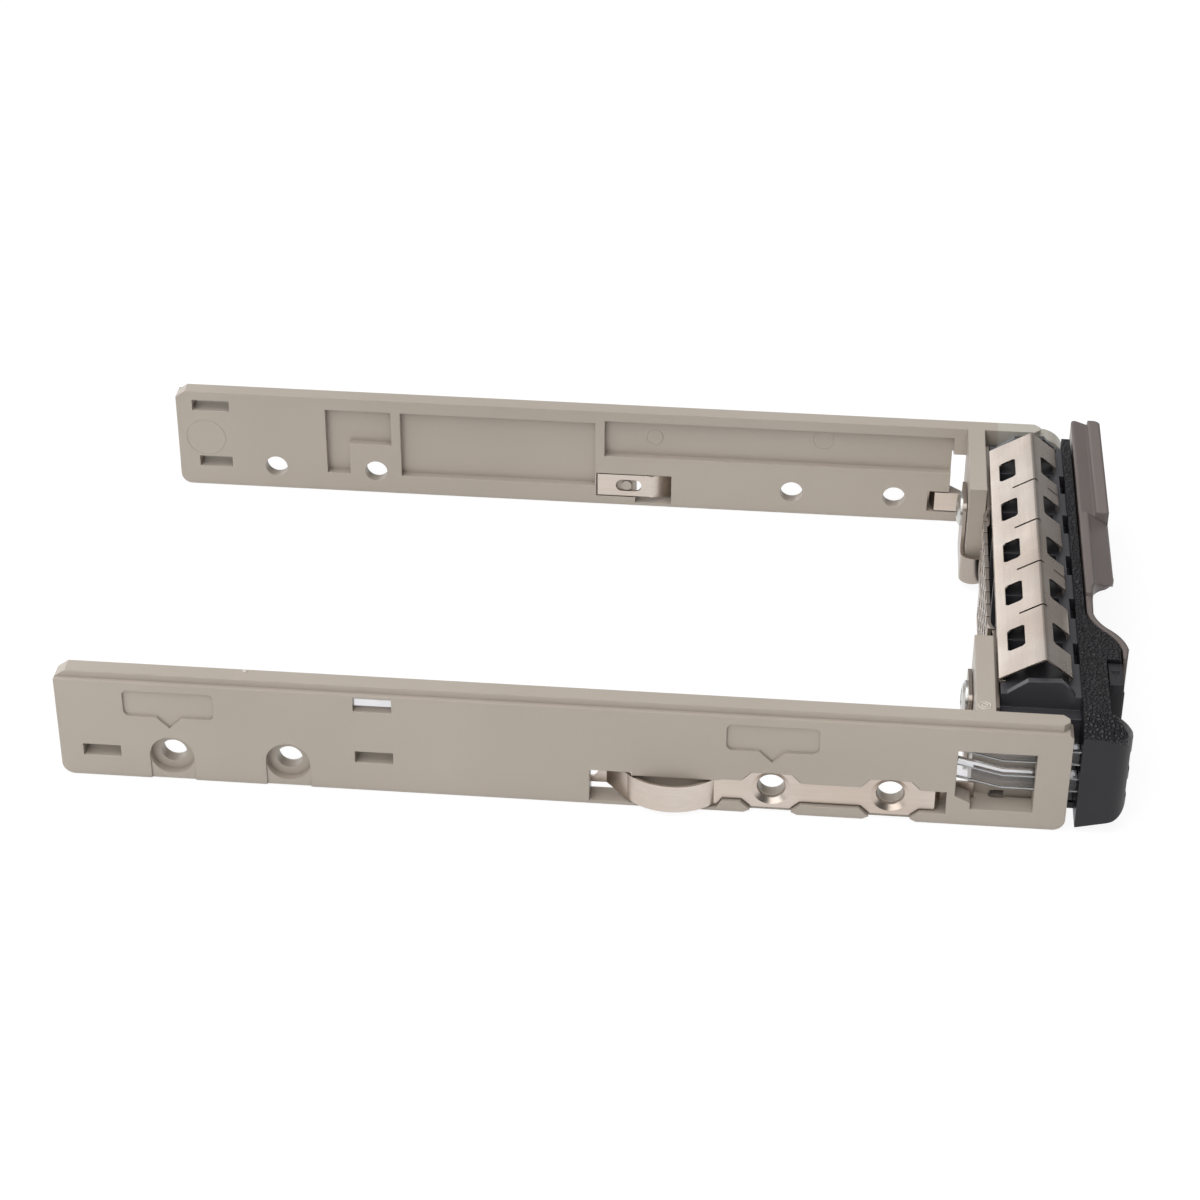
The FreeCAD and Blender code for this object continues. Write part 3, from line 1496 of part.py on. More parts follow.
def make_hook_rivet():
    """Rivet through the handle's front wall and the hook's tang."""
    body = new_body("hook_rivet")
    front = lever_front
    back = lever_front + s.lever_wall + s.hook_sheet
    radius = s.rivet_radius
    head = s.rivet_head_radius
    outline = [
        (as_size(0.0), front - s.rivet_head),
        (head * 0.6, front - s.rivet_head),
        (head, front),
        (radius, front),
        (radius, back),
        (head * 0.9, back),
        (head * 0.9, back + s.rivet_head * 0.6),
        (as_size(0.0), back + s.rivet_head * 0.6),
    ]
    revolve(body, "turned_form", "XY", hub_low + s.hub_height / 2,
            (hinge_x - s.hook_tang + 1.8, as_size(0.0)), outline)
    return body


def make_coil(body, name, plane, level, corner, centre_radius, wire, axis, pitch, turns):
    """A six-sided wire wound about an axis through the corner of a plane."""
    sketch = new_sketch(body, name, plane, level)
    sketch.setExpression("AttachmentOffset.Base.x", as_size(corner[0]).text)
    sketch.setExpression("AttachmentOffset.Base.y", as_size(corner[1]).text)
    spot = (centre_radius, wire) if axis == "V_Axis" else (wire, centre_radius)
    draw(sketch, hexagon_outline(spot[0], spot[1], wire * 1.8))
    coil = body.newObject("PartDesign::AdditiveHelix", name)
    coil.Profile = sketch
    coil.ReferenceAxis = (sketch, [axis])
    coil.Mode = "pitch-turns-angle"
    coil.setExpression("Pitch", pitch.text)
    coil.setExpression("Turns", as_size(turns).text)
    return settle(body, coil, 0.0, True)


def make_lever_spring():
    """Torsion spring about the hinge pin, one leg on the cover and one on the handle."""
    body = new_body("lever_spring")
    wire = s.coil_wire
    centre = s.boss_radius - wire
    pitch = wire * 2.3
    low = coil_low + 0.1
    make_coil(body, "coil", "YZ", hinge_x, (hinge_y, low), -centre, wire, "V_Axis",
              pitch, s.coil_turns + 0.5)
    lower_leg = circle(hinge_y - centre, low + wire, wire)
    add(body, "handle_leg", "YZ", hinge_x, hinge_x - s.coil_leg, lower_leg)
    upper_leg = circle(hinge_y + centre, low + wire + pitch * (s.coil_turns + 0.5), wire)
    add(body, "cover_leg", "YZ", hinge_x, hinge_x - s.coil_leg, upper_leg)
    return body


# Release button

def make_release_button():
    """Sliding button: grip face, guide tenon behind it, and the tongue that holds the handle."""
    body = new_body("release_button")
    low = s.recess_floor + s.button_play
    high = button_high
    face = box(button_left, button_right, low, high)
    add(body, "grip", "XZ", button_back, button_front, face)
    middle = button_middle
    head_high = s.button_tenon_low + s.button_tenon_height
    neck = box(middle, tenon_right, s.button_tenon_low + s.button_head_step,
               head_high - s.button_head_step)
    add(body, "tenon_neck", "XZ", button_back - 0.5, tenon_back, neck)
    head = box(middle, tenon_right, s.button_tenon_low, head_high)
    add(body, "tenon_head", "XZ", tenon_neck, tenon_back, head)
    tongue = box(button_right - 0.5, button_right + s.catch_length, catch_back - s.catch_wall,
                 catch_back)
    add(body, "tongue", "XY", s.catch_low, s.catch_low + s.catch_height, tongue)
    rib = box(middle - 1.6, middle - 1.2, low + 1.6, high - 1.8)
    ribs = add(body, "grip_rib", "XZ", button_front + 0.1, button_front - 0.25, rib)
    repeat(body, "grip_ribs", ribs, "X", as_size(0.9), 4, True)
    arrow = [
        (middle - 1.0, button_back - 0.9),
        (middle + 0.7, button_back - 1.5),
        (middle + 0.7, button_back - 0.3),
    ]
    cut(body, "arrow", "XY", high + 1, high - 0.2, arrow)
    return body


def make_button_spring():
    """Compression spring that pushes the button towards the handle."""
    body = new_body("button_spring")
    wire = s.spring_wire
    pitch = (s.spring_length - wire * 2) / s.spring_turns
    y = (tenon_neck + tenon_back) / 2
    z = s.button_tenon_low + s.button_tenon_height / 2
    make_coil(body, "coil", "XY", z, (spring_start, y), s.spring_radius, wire, "H_Axis",
              pitch, s.spring_turns)
    return body


make_rail("left_rail", -1)
make_rail("right_rail", 1)
make_leaf_spring("left_leaf_spring", -1)
make_leaf_spring("right_leaf_spring", 1)
make_vent_plate()
arm_seat = arm_rear - s.arm_depth / 2 + s.tab_bend + s.vent_sheet
for side_name, sign in (("left", -1), ("right", 1)):
    make_screw(f"{side_name}_arm_screw", arm_screw_x * sign, s.arm_screw_z, arm_seat,
               s.arm_screw_radius, s.arm_screw_length, s.arm_head_radius, s.arm_head_height)
    make_screw(f"{side_name}_cover_screw", cover_screw_x * sign, s.cover_screw_z,
               module_rear - s.cover_head_sink, s.cover_screw_radius, s.cover_screw_length,
               s.cover_head_radius, s.cover_head_height)
make_light_pipe("upper_light_pipe", s.pipe_front_z)
make_light_pipe("lower_light_pipe", s.pipe_front_z - s.pipe_pitch)
make_front_module()
make_emi_spring()
make_bezel()
make_lever()
make_lever_pin()
make_latch_hook()
make_hook_rivet()
make_lever_spring()
make_release_button()
make_button_spring()
document.recompute()

# Everything is checked before anything is written
bodies = [item for item in document.Objects if item.TypeId == "PartDesign::Body"]
for item in document.Objects:
    if "Invalid" in item.State or "Error" in item.State:
        raise RuntimeError(f"{item.Label} is {item.State}")
for body in bodies:
    if body.Shape.isNull() or not body.Shape.isValid():
        raise RuntimeError(f"{body.Label} has no valid shape")
    if len(body.Shape.Solids) != 1:
        raise RuntimeError(f"{body.Label} has {len(body.Shape.Solids)} solids")

os.makedirs("parts", exist_ok=True)
for body in bodies:
    body.Shape.exportStep(f"parts/{body.Label}.step")
    size = body.Shape.BoundBox
    print(f"{body.Label}: {size.XLength:.2f} x {size.YLength:.2f} x {size.ZLength:.2f},"
          f" volume {body.Shape.Volume:.1f}")
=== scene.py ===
# %% [markdown]
# # A drive carrier, dressed for its portrait
#
# The carrier holds a 2.5-inch drive between two moulded rails. Its shape comes from the CAD
# frame, which is already in metres and in place. This lesson gives each piece its finish, adds
# the fine detail that moulds and presses leave behind, and sets up the floor, the light and the
# camera.

# %% Load the frame
import math

import bpy
import numpy as np
from mathutils import Matrix, Vector


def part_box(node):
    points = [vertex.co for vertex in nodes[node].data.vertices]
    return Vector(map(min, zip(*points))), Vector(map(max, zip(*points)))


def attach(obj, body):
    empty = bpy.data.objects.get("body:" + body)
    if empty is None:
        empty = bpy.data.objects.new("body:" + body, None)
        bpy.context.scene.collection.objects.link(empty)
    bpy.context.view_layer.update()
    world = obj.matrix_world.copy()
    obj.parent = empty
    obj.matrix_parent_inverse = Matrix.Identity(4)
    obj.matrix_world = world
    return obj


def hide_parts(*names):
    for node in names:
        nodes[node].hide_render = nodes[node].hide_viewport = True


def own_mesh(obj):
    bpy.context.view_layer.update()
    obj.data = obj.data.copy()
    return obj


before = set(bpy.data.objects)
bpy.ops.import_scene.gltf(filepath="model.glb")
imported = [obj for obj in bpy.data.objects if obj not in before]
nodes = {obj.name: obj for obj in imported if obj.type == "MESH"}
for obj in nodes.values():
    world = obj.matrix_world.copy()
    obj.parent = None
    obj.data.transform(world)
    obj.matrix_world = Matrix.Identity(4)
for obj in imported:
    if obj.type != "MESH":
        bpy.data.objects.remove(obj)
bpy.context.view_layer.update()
print("nodes:", sorted(nodes))

# %% [markdown]
# ## The camera
#
# A camera can be placed by eye, or worked out from known points. The four screw holes of each
# rail are at known places, so the camera was worked out from where the photograph shows them:
# how far away it stands, how high, and how long its lens is. Here those few numbers become a
# Blender camera. Its three axes are the columns of its rotation matrix. The angles and
# distances count from a point between the foremost holes, in millimetres, and frame_shift says
# where that point lies in the frame.

# %% Place the camera
scene = bpy.context.scene
MM = 0.001
azimuth = math.radians(-85.022)
elevation = math.radians(33.110)
roll = math.radians(0.322)
distance = 397.567
aside = -39.777
above = 4.859
frame_shift = np.array([-1.5, -38.35, 3.6])

backward = np.array([
    math.sin(azimuth) * math.cos(elevation),
    -math.cos(azimuth) * math.cos(elevation),
    math.sin(elevation),
])
level_right = np.array([math.cos(azimuth), math.sin(azimuth), 0.0])
level_up = np.cross(backward, level_right)
right = math.cos(roll) * level_right + math.sin(roll) * level_up
up = -math.sin(roll) * level_right + math.cos(roll) * level_up
place = aside * right + above * up + distance * backward + frame_shift

camera_data = bpy.data.cameras.new("portrait_camera")
camera_data.sensor_width = 36.0
camera_data.lens = 87.58
camera_data.clip_start = 0.01
camera_data.clip_end = 20.0
camera = bpy.data.objects.new("portrait_camera", camera_data)
turn = np.eye(4)
turn[:3, 0] = right
turn[:3, 1] = up
turn[:3, 2] = backward
turn[:3, 3] = place * MM
camera.matrix_world = Matrix(turn.tolist())
scene.collection.objects.link(camera)
scene.camera = camera
print("camera at", [round(value, 4) for value in (place * MM)])

# %% [markdown]
# ## Floor and light
#
# A product photograph is lit by large soft boxes, so that shadows are faint and metal shows
# broad bright bands. Three large area lamps and a pale world do the same. The floor shows
# itself white to the camera and still receives the carrier's soft shadow, because part of its
# white is its own light, and the rest is what the lamps send to it.

# %% Build the floor
FLOOR_REACH = 3.0
FLOOR_GAP = 0.0002
floor_data = bpy.data.meshes.new("studio_floor")
floor_data.from_pydata(
    [(FLOOR_REACH * x, FLOOR_REACH * y, 0.0) for x, y in ((-1, -1), (1, -1), (1, 1), (-1, 1))],
    [],
    [(0, 1, 2, 3)],
)
floor = bpy.data.objects.new("studio_floor", floor_data)
floor.location.z = -FLOOR_GAP
scene.collection.objects.link(floor)

floor_material = bpy.data.materials.new("studio_paper")
floor_material.use_nodes = True
tree = floor_material.node_tree
tree.nodes.clear()
output = tree.nodes.new("ShaderNodeOutputMaterial")
paper = tree.nodes.new("ShaderNodeBsdfDiffuse")
paper.inputs["Color"].default_value = (0.14, 0.14, 0.14, 1)
glow = tree.nodes.new("ShaderNodeEmission")
glow.inputs["Color"].default_value = (1, 1, 1, 1)
glow.inputs["Strength"].default_value = 0.905
both = tree.nodes.new("ShaderNodeAddShader")
plain = tree.nodes.new("ShaderNodeBsdfDiffuse")
plain.inputs["Color"].default_value = (0.8, 0.8, 0.8, 1)
path = tree.nodes.new("ShaderNodeLightPath")
seen = tree.nodes.new("ShaderNodeMath")
seen.operation = "MAXIMUM"
pick = tree.nodes.new("ShaderNodeMixShader")
tree.links.new(path.outputs["Is Camera Ray"], seen.inputs[0])
tree.links.new(path.outputs["Is Glossy Ray"], seen.inputs[1])
tree.links.new(seen.outputs[0], pick.inputs[0])
tree.links.new(plain.outputs[0], pick.inputs[1])
tree.links.new(paper.outputs[0], both.inputs[0])
tree.links.new(glow.outputs[0], both.inputs[1])
tree.links.new(both.outputs[0], pick.inputs[2])
tree.links.new(pick.outputs[0], output.inputs["Surface"])
floor_data.materials.append(floor_material)
print("floor:", floor.name, "reaches", FLOOR_REACH, "m each way")

# %% A pale room
world = bpy.data.worlds.new("studio_room")
scene.world = world
world.use_nodes = True
tree = world.node_tree
tree.nodes.clear()
output = tree.nodes.new("ShaderNodeOutputWorld")
room = tree.nodes.new("ShaderNodeBackground")
sky_way = tree.nodes.new("ShaderNodeTexCoord")
toward_rear = tree.nodes.new("ShaderNodeVectorMath")
toward_rear.operation = "DOT_PRODUCT"
toward_rear.inputs[1].default_value = (0.35, 0.85, 0.25)
room_tone = tree.nodes.new("ShaderNodeMapRange")
room_tone.interpolation_type = "SMOOTHSTEP"
room_tone.inputs["From Min"].default_value = -0.45
room_tone.inputs["From Max"].default_value = 0.6
room_tone.inputs["To Min"].default_value = 0.10
room_tone.inputs["To Max"].default_value = 0.62
tree.links.new(sky_way.outputs["Generated"], toward_rear.inputs[0])
tree.links.new(toward_rear.outputs["Value"], room_tone.inputs["Value"])
tree.links.new(room_tone.outputs["Result"], room.inputs["Strength"])
white = tree.nodes.new("ShaderNodeBackground")
white.inputs["Color"].default_value = (1, 1, 1, 1)
white.inputs["Strength"].default_value = 1.0
path = tree.nodes.new("ShaderNodeLightPath")
pick = tree.nodes.new("ShaderNodeMixShader")
tree.links.new(path.outputs["Is Camera Ray"], pick.inputs[0])
tree.links.new(room.outputs[0], pick.inputs[1])
tree.links.new(white.outputs[0], pick.inputs[2])
tree.links.new(pick.outputs[0], output.inputs["Surface"])
print("world:", world.name)

# %% Three soft boxes
def soft_box(name, place, aim, width, height, power):
    """An area lamp at a place, turned so that it faces the point it aims at."""
    lamp_data = bpy.data.lights.new(name, "AREA")
    lamp_data.shape = "RECTANGLE"
    lamp_data.size = width
    lamp_data.size_y = height
    lamp_data.energy = power
    lamp = bpy.data.objects.new(name, lamp_data)
    way = Vector(aim) - Vector(place)
    lamp.location = place
    lamp.rotation_euler = way.to_track_quat("-Z", "Y").to_euler()
    scene.collection.objects.link(lamp)


soft_box("overhead_box", (-0.15, 0.15, 0.75), (0, 0, 0), 0.85, 0.85, 4.9)
soft_box("camera_side_box", (-0.75, 0.25, 0.45), (0, 0, 0), 0.7, 0.7, 2.6)
soft_box("far_rear_box", (0.75, 0.60, 0.22), (0, -0.04, 0), 0.7, 0.4, 1.1)
scene.view_settings.view_transform = "Standard"

# %% [markdown]
# ## Small tools for materials
#
# Most finishes need the same few effects: a slow drift of tone across a moulding, a fine grain
# that catches the light, and edges that carry a painted highlight, with painted shade in
# crevices. Each effect is a node group, built once and placed in each material with its own
# numbers. The shader itself stays in the material.

# %% Node helpers
def new_group(name, inputs, outputs):
    """A shader node group with the named float inputs and typed outputs."""
    group = bpy.data.node_groups.new(name, "ShaderNodeTree")
    for label, value in inputs:
        socket = group.interface.new_socket(label, in_out="INPUT", socket_type="NodeSocketFloat")
        socket.default_value = value
    for label, kind in outputs:
        group.interface.new_socket(label, in_out="OUTPUT", socket_type=kind)
    entry = group.nodes.new("NodeGroupInput")
    leave = group.nodes.new("NodeGroupOutput")
    return group, entry, leave


def place_group(tree, group, **values):
    """Put a group into a material and set its inputs."""
    node = tree.nodes.new("ShaderNodeGroup")
    node.node_tree = group
    for label, value in values.items():
        node.inputs[label.replace("_", " ")].default_value = value
    return node


def math_node(tree, operation, first, second=0.5):
    """One arithmetic node; each operand is a number or an output socket."""
    node = tree.nodes.new("ShaderNodeMath")
    node.operation = operation
    for slot, value in enumerate((first, second)):
        if isinstance(value, (int, float)):
            node.inputs[slot].default_value = value
        else:
            tree.links.new(value, node.inputs[slot])
    return node.outputs[0]


print("node helpers: new_group, place_group, math_node")

# %% Group: tone drift and moulded grain
grain_group, entry, leave = new_group(
    "moulded_grain",
    [("Grain Size", 4000.0), ("Drift Size", 40.0)],
    [("Height", "NodeSocketFloat"), ("Drift", "NodeSocketFloat")],
)
tree = grain_group
where = tree.nodes.new("ShaderNodeTexCoord")
fine = tree.nodes.new("ShaderNodeTexNoise")
fine.inputs["Detail"].default_value = 3.0
fine.inputs["Roughness"].default_value = 0.6
slow = tree.nodes.new("ShaderNodeTexNoise")
slow.inputs["Detail"].default_value = 2.0
tree.links.new(where.outputs["Object"], fine.inputs["Vector"])
tree.links.new(where.outputs["Object"], slow.inputs["Vector"])
tree.links.new(entry.outputs["Grain Size"], fine.inputs["Scale"])
tree.links.new(entry.outputs["Drift Size"], slow.inputs["Scale"])
tree.links.new(fine.outputs["Fac"], leave.inputs["Height"])
tree.links.new(slow.outputs["Fac"], leave.inputs["Drift"])
print("group:", grain_group.name)

# %% Group: rolled sheet
brushed_group, entry, leave = new_group(
    "rolled_sheet",
    [("Line Size", 2500.0), ("Stretch X", 1.0), ("Stretch Y", 0.04), ("Stretch Z", 1.0)],
    [("Lines", "NodeSocketFloat"), ("Smudge", "NodeSocketFloat")],
)
tree = brushed_group
where = tree.nodes.new("ShaderNodeTexCoord")
stretch = tree.nodes.new("ShaderNodeCombineXYZ")
squeeze = tree.nodes.new("ShaderNodeVectorMath")
squeeze.operation = "MULTIPLY"
lines = tree.nodes.new("ShaderNodeTexNoise")
lines.inputs["Detail"].default_value = 4.0
smudge = tree.nodes.new("ShaderNodeTexNoise")
smudge.inputs["Scale"].default_value = 150.0
smudge.inputs["Detail"].default_value = 3.0
for axis in "XYZ":
    tree.links.new(entry.outputs[f"Stretch {axis}"], stretch.inputs[axis])
tree.links.new(where.outputs["Object"], squeeze.inputs[0])
tree.links.new(stretch.outputs[0], squeeze.inputs[1])
tree.links.new(squeeze.outputs[0], lines.inputs["Vector"])
tree.links.new(entry.outputs["Line Size"], lines.inputs["Scale"])
tree.links.new(where.outputs["Object"], smudge.inputs["Vector"])
tree.links.new(lines.outputs["Fac"], leave.inputs["Lines"])
tree.links.new(smudge.outputs["Fac"], leave.inputs["Smudge"])
print("group:", brushed_group.name)

# %% Group: masks for painted edge highlights and painted crevice shade
edge_group, entry, leave = new_group(
    "edges_and_crevices",
    [("Edge Reach", 0.0004), ("Crevice Reach", 0.0014)],
    [("Edge", "NodeSocketFloat"), ("Crevice", "NodeSocketFloat")],
)
tree = edge_group
for label, inward in (("Edge", True), ("Crevice", False)):
    feeler = tree.nodes.new("ShaderNodeAmbientOcclusion")
    feeler.inside = inward
    feeler.samples = 8
    tree.links.new(entry.outputs[f"{label} Reach"], feeler.inputs["Distance"])
    tree.links.new(math_node(tree, "SUBTRACT", 1.0, feeler.outputs["AO"]), leave.inputs[label])
print("group:", edge_group.name)

# %% Group: leather grain
leather_group, entry, leave = new_group(
    "leather_grain",
    [("Pebble Size", 1500.0), ("Wander", 0.0004)],
    [("Height", "NodeSocketFloat")],
)
tree = leather_group
where = tree.nodes.new("ShaderNodeTexCoord")
ripple = tree.nodes.new("ShaderNodeTexNoise")
ripple.inputs["Scale"].default_value = 900.0
ripple.inputs["Detail"].default_value = 1.0
centred = tree.nodes.new("ShaderNodeVectorMath")
centred.operation = "SUBTRACT"
centred.inputs[1].default_value = (0.5, 0.5, 0.5)
pushed = tree.nodes.new("ShaderNodeVectorMath")
pushed.operation = "SCALE"
moved = tree.nodes.new("ShaderNodeVectorMath")
moved.operation = "ADD"
pebbles = tree.nodes.new("ShaderNodeTexVoronoi")
pebbles.feature = "DISTANCE_TO_EDGE"
rounded = tree.nodes.new("ShaderNodeMapRange")
rounded.interpolation_type = "SMOOTHSTEP"
rounded.inputs["From Max"].default_value = 0.28
tree.links.new(where.outputs["Object"], ripple.inputs["Vector"])
tree.links.new(ripple.outputs["Color"], centred.inputs[0])
tree.links.new(centred.outputs[0], pushed.inputs[0])
tree.links.new(entry.outputs["Wander"], pushed.inputs["Scale"])
tree.links.new(where.outputs["Object"], moved.inputs[0])
tree.links.new(pushed.outputs[0], moved.inputs[1])
tree.links.new(moved.outputs[0], pebbles.inputs["Vector"])
tree.links.new(entry.outputs["Pebble Size"], pebbles.inputs["Scale"])
tree.links.new(pebbles.outputs["Distance"], rounded.inputs["Value"])
tree.links.new(rounded.outputs["Result"], leave.inputs["Height"])
print("group:", leather_group.name)

# %% Start a material
def new_material(name, base, roughness, metallic=0.0):
    """A principled material with its plain values set on the shader's own sockets."""
    material = bpy.data.materials.new(name)
    material.use_nodes = True
    tree = material.node_tree
    tree.nodes.clear()
    output = tree.nodes.new("ShaderNodeOutputMaterial")
    shader = tree.nodes.new("ShaderNodeBsdfPrincipled")
    shader.inputs["Base Color"].default_value = (*base, 1)
    shader.inputs["Roughness"].default_value = roughness
    shader.inputs["Metallic"].default_value = metallic
    tree.links.new(shader.outputs["BSDF"], output.inputs["Surface"])
    return material, tree, shader


def dress(names, material):
    """Give CAD nodes a material."""
    for name in names:
        data = nodes[name].data
        data.materials.clear()
        data.materials.append(material)


print("material helpers: new_material, dress")

# %% Relief and tone
def soft_edges(tree, radius):
    """A normal that rounds sharp edges by the given radius in metres."""
    node = tree.nodes.new("ShaderNodeBevel")
    node.samples = 4
    node.inputs["Radius"].default_value = radius
    return node.outputs["Normal"]


def bump(tree, shader, height, strength, depth, normal=None):
    """Feed a height into the shader's normal."""
    node = tree.nodes.new("ShaderNodeBump")
    node.inputs["Strength"].default_value = strength
    node.inputs["Distance"].default_value = depth
    tree.links.new(height, node.inputs["Height"])
    if normal is not None:
        tree.links.new(normal, node.inputs["Normal"])
    tree.links.new(node.outputs["Normal"], shader.inputs["Normal"])


def shade_between(tree, factor, dark, light, low=0.0, high=1.0):
    """A colour ramp from a dark to a light tone."""
    ramp = tree.nodes.new("ShaderNodeValToRGB")
    ramp.color_ramp.elements[0].position = low
    ramp.color_ramp.elements[1].position = high
    ramp.color_ramp.elements[0].color = (*dark, 1)
    ramp.color_ramp.elements[1].color = (*light, 1)
    tree.links.new(factor, ramp.inputs["Fac"])
    return ramp.outputs["Color"]


print("relief and tone helpers: soft_edges, bump, shade_between")

# %% [markdown]
# ## Rails
#
# The rails are moulded in a warm grey-beige plastic with a faint sheen. The tone drifts a little
# along the part where the melt flowed, and the surface is finely matt. A slow noise tints the
# colour by a few percent, and a fine noise raises a shallow grain. Both are read at the place of
# the shaded spot, so the rails need no unwrapping and no pattern repeats. A mask made from the
# same place turns the right rail's nose milky.

# %% Tint and place helpers
def tint(tree, colour, mask, tone):
    """Mix a colour towards a tone where the mask is high."""
    mix = tree.nodes.new("ShaderNodeMix")
    mix.data_type = "RGBA"
    tree.links.new(mask, mix.inputs["Factor"])
    tree.links.new(colour, mix.inputs["A"])
    mix.inputs["B"].default_value = (*tone, 1)
    return mix.outputs["Result"]


def limits(tree, value, low, high, top=1.0):
    """A value turned into a mask that rises from 0 at low to top at high."""
    node = tree.nodes.new("ShaderNodeMapRange")
    node.interpolation_type = "SMOOTHSTEP"
    node.inputs["From Min"].default_value = low
    node.inputs["From Max"].default_value = high
    node.inputs["To Max"].default_value = top
    tree.links.new(value, node.inputs["Value"])
    return node.outputs["Result"]


def spot_axes(tree):
    """The X, Y and Z of the shaded spot, in metres of the row frame."""
    where = tree.nodes.new("ShaderNodeTexCoord")
    axes = tree.nodes.new("ShaderNodeSeparateXYZ")
    tree.links.new(where.outputs["Object"], axes.inputs[0])
    return axes.outputs


def forward_of(tree):
    """How far the shaded spot lies in front of the origin, in metres."""
    return math_node(tree, "MULTIPLY", spot_axes(tree)["Y"], -1.0)


print("helpers: tint, limits, spot_axes, forward_of")

# %% Moulded plastic
def moulded_plastic(name, dark, light, roughness, grain, grain_size=2600.0, edge=0.00018,
                    edge_highlight=0.35, shaded=0.55, reach=0.0012):
    """Plastic with a drifting tone, fine grain, a painted highlight on edges and painted shade in
    crevices.
    """
    material, tree, shader = new_material(name, light, roughness)
    group = place_group(tree, grain_group, Grain_Size=grain_size, Drift_Size=38.0)
    colour = shade_between(tree, group.outputs["Drift"], dark, light, 0.3, 0.7)
    rims = place_group(tree, edge_group, Edge_Reach=0.0003, Crevice_Reach=reach)
    pale = tuple(min(1.0, value * 1.25 + 0.01) for value in light)
    deep = tuple(value * 0.55 for value in dark)
    # Painted shade darkens the crevices and a painted highlight pales the edges.
    colour = tint(tree, colour, limits(tree, rims.outputs["Crevice"], 0.25, 0.95, shaded), deep)
    colour = tint(tree, colour, limits(tree, rims.outputs["Edge"], 0.3, 0.8, edge_highlight), pale)
    tree.links.new(colour, shader.inputs["Base Color"])
    bump(tree, shader, group.outputs["Height"], grain, 0.00004, soft_edges(tree, edge))
    return material, tree, shader


# The edge setting here is a painted highlight, and the crevice setting is painted shade deep
# enough to darken the pocket behind the leaf arch.
rail_plastic, tree, shader = moulded_plastic(
    "rail_plastic", (0.428, 0.375, 0.318), (0.465, 0.411, 0.354), 0.34, 0.25,
    edge_highlight=0.6, shaded=0.8, reach=0.002
)
NOSE_RIGHT = (0.0340, 0.0344)
NOSE_FORWARD = (0.05262, 0.05274)
nose = math_node(
    tree, "MULTIPLY",
    limits(tree, spot_axes(tree)["X"], *NOSE_RIGHT),
    limits(tree, forward_of(tree), *NOSE_FORWARD, 0.6),
)
milky = tint(tree, shader.inputs["Base Color"].links[0].from_socket, nose, (0.54, 0.53, 0.47))
tree.links.new(milky, shader.inputs["Base Color"])
dress(["left_rail", "right_rail"], rail_plastic)
print("rails dressed; the right rail's nose is milkier")

# %% [markdown]
# ## Marks of the mould
#
# Pins push a moulding out of its mould, and each leaves a faint ring. The gate where the melt
# ran in leaves a small pip. The rings are half-sunk hoops less than a tenth of a millimetre
# high: a small circle carried round a large one, both worked out as one grid of angles. They
# could be drawn as bump, but only real relief is still there when the shape is exported.

# %% Tools for new pieces
def grid_faces(rows, columns):
    """Quads of a grid whose two directions both close on themselves."""
    row, column = np.meshgrid(np.arange(rows), np.arange(columns), indexing="ij")
    below = (row + 1) % rows
    beside = (column + 1) % columns
    corners = [row * columns + column, below * columns + column,
               below * columns + beside, row * columns + beside]
    return np.stack(corners, axis=-1).reshape(-1, 4).tolist()


def new_piece(name, points, faces, material, sharp=None):
    """A mesh piece, its points in millimetres, that rides on the caddy."""
    data = bpy.data.meshes.new(name)
    data.from_pydata((points * MM).tolist(), [], faces)
    data.materials.append(material)
    data.shade_smooth()
    if sharp is not None:
        data.set_sharp_from_angle(angle=math.radians(sharp))
    piece = bpy.data.objects.new(name, data)
    scene.collection.objects.link(piece)
    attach(piece, "caddy")
    return piece


print("tools for new pieces: grid_faces, new_piece")

# %% A wire and a hoop
RING_STEPS = 72
WIRE_SIDES = 8


def unit_along(path):
    """Unit vectors along a path of points."""
    along = np.gradient(path, axis=0)
    return along / np.linalg.norm(along, axis=1, keepdims=True)


def wire_piece(name, path, outward, thickness, material):
    """A wire: path + thickness (cos v outward + sin v sideways), with a cap at each end."""
    sideways = np.cross(outward, unit_along(path))
    v = np.linspace(0, 2 * np.pi, WIRE_SIDES, endpoint=False)[None, :, None]
    around = np.cos(v) * outward[:, None] + np.sin(v) * sideways[:, None]
    points = (path[:, None] + thickness * around).reshape(-1, 3)
    walls = grid_faces(len(path), WIRE_SIDES)[:-WIRE_SIDES]
    last = len(path) * WIRE_SIDES - 1
    caps = [list(range(WIRE_SIDES)), list(range(last, last - WIRE_SIDES, -1))]
    return new_piece(name, points, walls + caps, material)


def ring_piece(name, centre, plane, radius, wire, material):
    """A hoop: centre + (radius + wire cos v)(cos u across + sin u upward) + wire sin v normal."""
    across, upward = np.array(plane, dtype=float)
    normal = np.cross(across, upward)
    u = np.linspace(0, 2 * np.pi, RING_STEPS, endpoint=False)[:, None, None]
    v = np.linspace(0, 2 * np.pi, WIRE_SIDES, endpoint=False)[None, :, None]
    outward = np.cos(u) * across + np.sin(u) * upward
    hoop = (radius + wire * np.cos(v)) * outward + wire * np.sin(v) * normal
    points = (np.array(centre) + hoop).reshape(-1, 3)
    return new_piece(name, points, grid_faces(RING_STEPS, WIRE_SIDES), material)


print("wires and hoops have", WIRE_SIDES, "sides; a hoop has", RING_STEPS, "steps")

